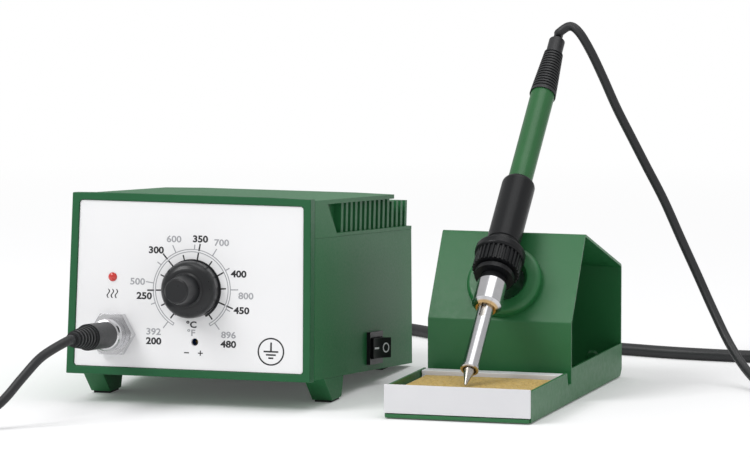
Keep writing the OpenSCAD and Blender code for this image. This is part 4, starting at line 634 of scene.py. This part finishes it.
less_at, more_at = TRIM_AT - [TRIM_APART, 0], TRIM_AT + [TRIM_APART, 0]
signs = [wave(HEAT_AT + [k * WAVE_APART, 0], WAVE_H, WAVE_W, WAVE_SWING) for k in (-1, 0, 1)]
signs += [bar(less_at, TRIM_L, TRIM_LINE), bar(more_at, TRIM_L, TRIM_LINE), bar(more_at, TRIM_LINE, TRIM_L)]
signs += [arc_band(EARTH_RING, 0, 360, EARTH_AT), bar(EARTH_AT + [0, EARTH_STEM_UP], *EARTH_STEM)]
signs += [bar(EARTH_AT - [0, EARTH_BAR_APART * k], EARTH_BAR - EARTH_BAR_LESS * k, EARTH_LINE)
          for k in range(3)]
marks("panel_signs", signs, panel_point, ink_black)

# The rocker's face is a shallow hollow of two slopes, and tilted at rest
ROCKER_HALF, ROCKER_VALLEY, ROCKER_RISE, ROCKER_TILT = 8.2, 4.0, 5.2, math.radians(14)
SIDE_IN = (CASE_W - CASE_TOP_W) / 2
SIDE_DRAFT = math.atan(SIDE_IN / CASE_H)
DASH_AT, DASH_SIZE = (-4.2, 0), (5.4, 0.9)
CIRCLE_AT, CIRCLE_RADII = np.array([4.4, 0.0]), (1.75, 2.4)


def rocker_point(points):
    """Rocker millimetres (back, up, out) to table millimetres: out from the hollow by its slope's share,
    turned by the tilt, and set on the side wall with its draft."""
    p = np.asarray(points, float)
    out = ROCKER_VALLEY + (ROCKER_RISE - ROCKER_VALLEY) * np.abs(p[..., 0]) / ROCKER_HALF + p[..., 2]
    x = out * math.cos(ROCKER_TILT) + p[..., 0] * math.sin(ROCKER_TILT)
    y = p[..., 0] * math.cos(ROCKER_TILT) - out * math.sin(ROCKER_TILT)
    wall = CASE_W / 2 - SIDE_IN * SWITCH_Z / CASE_H
    return case_point(np.stack([
        wall + x * math.cos(SIDE_DRAFT) - p[..., 1] * math.sin(SIDE_DRAFT), SWITCH_Y + y,
        SWITCH_Z + x * math.sin(SIDE_DRAFT) + p[..., 1] * math.cos(SIDE_DRAFT)], -1))


rocker_marks = [bar(DASH_AT, *DASH_SIZE), arc_band(CIRCLE_RADII, 0, 360, CIRCLE_AT)]
marks("rocker_signs", rocker_marks, rocker_point, ink_white, "rocker")

# The sponge: a crowned pad with pitted skin
SPONGE_CELLS = (150, 130)
SPONGE_CROWN, SPONGE_PULL = 1.1, 0.35
PORE_SEED, PORES, PORE_BATCH, PORE_RADII, PORE_DEPTH = 7, 900, 100, (0.3, 0.85), 0.6
WALL_SHARES, WALL_WAIST, WALL_BACK = (0.1, 0.3, 0.5, 0.7, 0.9, 1.0), 0.012, 0.006


def pore_pits(flat):
    """Depth of the pits at points of the top: each seeded pore is a bowl whose depth falls with the squared
    distance from its centre, and the deepest one counts."""
    random = np.random.default_rng(PORE_SEED)
    pore_x = random.uniform(-SPONGE_W / 2, SPONGE_W / 2, PORES)
    pore_y = random.uniform(-SPONGE_D / 2, SPONGE_D / 2, PORES)
    radii = random.uniform(*PORE_RADII, PORES)
    centres = np.column_stack([pore_x, pore_y])
    pit = np.zeros(len(flat))
    for first in range(0, PORES, PORE_BATCH):
        batch = slice(first, first + PORE_BATCH)
        gap = np.linalg.norm(flat[:, None, :] - centres[None, batch, :], axis=2) / radii[None, batch]
        pit = np.maximum(pit, (np.clip(1 - gap ** 2, 0, 1) * radii[None, batch] * PORE_DEPTH).max(1))
    return pit


def sponge_top():
    """The crowned top: it falls by one less the product of one less the sixth powers of both sides' shares,
    its sides pull in between the corners by the fourth power, and the pores are taken off."""
    u, v = np.meshgrid(*(np.linspace(-1, 1, cells + 1) for cells in SPONGE_CELLS), indexing="ij")
    lift = (1 - np.abs(u) ** 6) * (1 - np.abs(v) ** 6)
    x = u * (SPONGE_W / 2 - SPONGE_PULL * u ** 4 * (1 - v ** 2))
    y = v * (SPONGE_D / 2 - SPONGE_PULL * v ** 4 * (1 - u ** 2))
    pit = pore_pits(np.column_stack([x.ravel(), y.ravel()])).reshape(x.shape)
    return np.stack([x, y, SPONGE_TOP - SPONGE_CROWN * (1 - lift) - pit], -1)


def sponge_mesh():
    """The top, rows of wall down to the tray and the foot: each row is the rim, drawn in by a sine of its
    share of the height."""
    top = sponge_top()
    rows, cols = top.shape[:2]
    index = np.arange(rows * cols).reshape(rows, cols)
    cells = np.stack([index[:-1, :-1], index[1:, :-1], index[1:, 1:], index[:-1, 1:]], -1).reshape(-1, 4)
    rim = np.concatenate([index[:-1, 0], index[-1, :-1], index[:0:-1, -1], index[0, :0:-1]])
    vertices, faces = [top.reshape(-1, 3)], [tuple(f) for f in cells]
    edge, last, count = vertices[0][rim], rim, rows * cols
    for share in WALL_SHARES:
        inward = 1 - WALL_WAIST * math.sin(math.pi * share) + (WALL_BACK if share < 1 else 0)
        z = edge[:, 2] + (SPONGE_FOOT - edge[:, 2]) * share
        new = np.arange(count, count + len(rim))
        faces += [tuple(f) for f in np.stack([last, new, np.roll(new, -1), np.roll(last, -1)], -1)]
        vertices.append(np.column_stack([edge[:, 0] * inward, edge[:, 1] * inward, z]))
        last, count = new, count + len(rim)
    faces.append(tuple(last[::-1]))
    return np.concatenate(vertices) + STAND + [STAND_W / 2, TRAY_FRONT + SPONGE_D / 2, 0.0], faces


sponge_pad = mesh_piece("sponge_pad", *sponge_mesh(), "tray")
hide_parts("sponge")
wear(sponge_pad, sponge_cellulose)

# The floor: matt white paper that keeps its shadows near the object and is plain white far from it
FLOOR_HALF, FLOOR_CORNERS = 9.0, ((-1, -1), (1, -1), (1, 1), (-1, 1))
FLOOR_LIFT = 0.07  # share of plain white that the camera sees in the shadows, as off a lit paper roll
FADE_START, FADE_END = 0.3, 1.1
floor_mesh = bpy.data.meshes.new("studio_floor")
floor_mesh.from_pydata([(x * FLOOR_HALF, y * FLOOR_HALF, 0) for x, y in FLOOR_CORNERS], [], [(0, 1, 2, 3)])
floor = linked("studio_floor", floor_mesh)
floor_paper = bpy.data.materials.new("studio_floor_paper")
floor_paper.use_nodes = True
paper = floor_paper.node_tree
paper.nodes.clear()
spot = add(paper, "ShaderNodeTexCoord")
reach = add(paper, "ShaderNodeVectorMath", {0: spot.outputs["Object"]}, operation="LENGTH")
fading = add(paper, "ShaderNodeMapRange",
             {"Value": reach.outputs["Value"], "From Min": FADE_START, "From Max": FADE_END,
              "To Min": FLOOR_LIFT, "To Max": 1.0})
ray = add(paper, "ShaderNodeLightPath")
direct = add(paper, "ShaderNodeMath",
             {0: ray.outputs["Is Camera Ray"], 1: ray.outputs["Is Glossy Ray"]}, operation="MAXIMUM")
seen = add(paper, "ShaderNodeMath",
           {0: direct.outputs[0], 1: ray.outputs["Is Transmission Ray"]}, operation="MAXIMUM")
far = add(paper, "ShaderNodeMath", {0: seen.outputs[0], 1: fading.outputs["Result"]}, operation="MULTIPLY")
matt = add(paper, "ShaderNodeBsdfDiffuse", {"Color": linear("#fbfbfc")})
glow = add(paper, "ShaderNodeEmission", {"Color": (1, 1, 1, 1), "Strength": 1.0})
mixed = add(paper, "ShaderNodeMixShader", {0: far.outputs[0], 1: matt.outputs[0], 2: glow.outputs[0]})
add(paper, "ShaderNodeOutputMaterial", {"Surface": mixed.outputs[0]})
floor_mesh.materials.append(floor_paper)

# The air: white to the camera, and a plain level of light on the object
AIR_LEVEL = 0.62
world = bpy.data.worlds.new("studio_world")
world.use_nodes = True
sky = world.node_tree
sky.nodes.clear()
sky_ray = add(sky, "ShaderNodeLightPath")
sky_seen = add(sky, "ShaderNodeMath",
               {0: sky_ray.outputs["Is Camera Ray"], 1: sky_ray.outputs["Is Transmission Ray"]},
               operation="MAXIMUM")
strength = add(sky, "ShaderNodeMapRange", {"Value": sky_seen.outputs[0], "To Min": AIR_LEVEL, "To Max": 1.0})
air = add(sky, "ShaderNodeBackground", {"Color": (1, 1, 1, 1), "Strength": strength.outputs["Result"]})
add(sky, "ShaderNodeOutputWorld", {"Surface": air.outputs[0]})
bpy.context.scene.world = world

# Soft boxes: name, place, what they are turned to, side length in metres, watts
SOFT_BOXES = [
    ("key_soft_box", (-1.1, -1.3, 1.7), (0.0, 0.0, 0.05), 1.1, 24),
    ("top_soft_box", (0.3, 0.2, 1.9), (0.0, 0.0, 0.0), 1.3, 9),
]
for box_name, box_at, box_target, box_side, box_power in SOFT_BOXES:
    box = bpy.data.lights.new(box_name, "AREA")
    box.shape = "SQUARE"
    box.size = box_side
    box.energy = box_power
    light = linked(box_name, box)
    light.location = box_at
    light.rotation_euler = (Vector(box_target) - Vector(box_at)).to_track_quat("-Z", "Y").to_euler()

bpy.context.scene.view_settings.view_transform = "Standard"
bpy.context.view_layer.update()
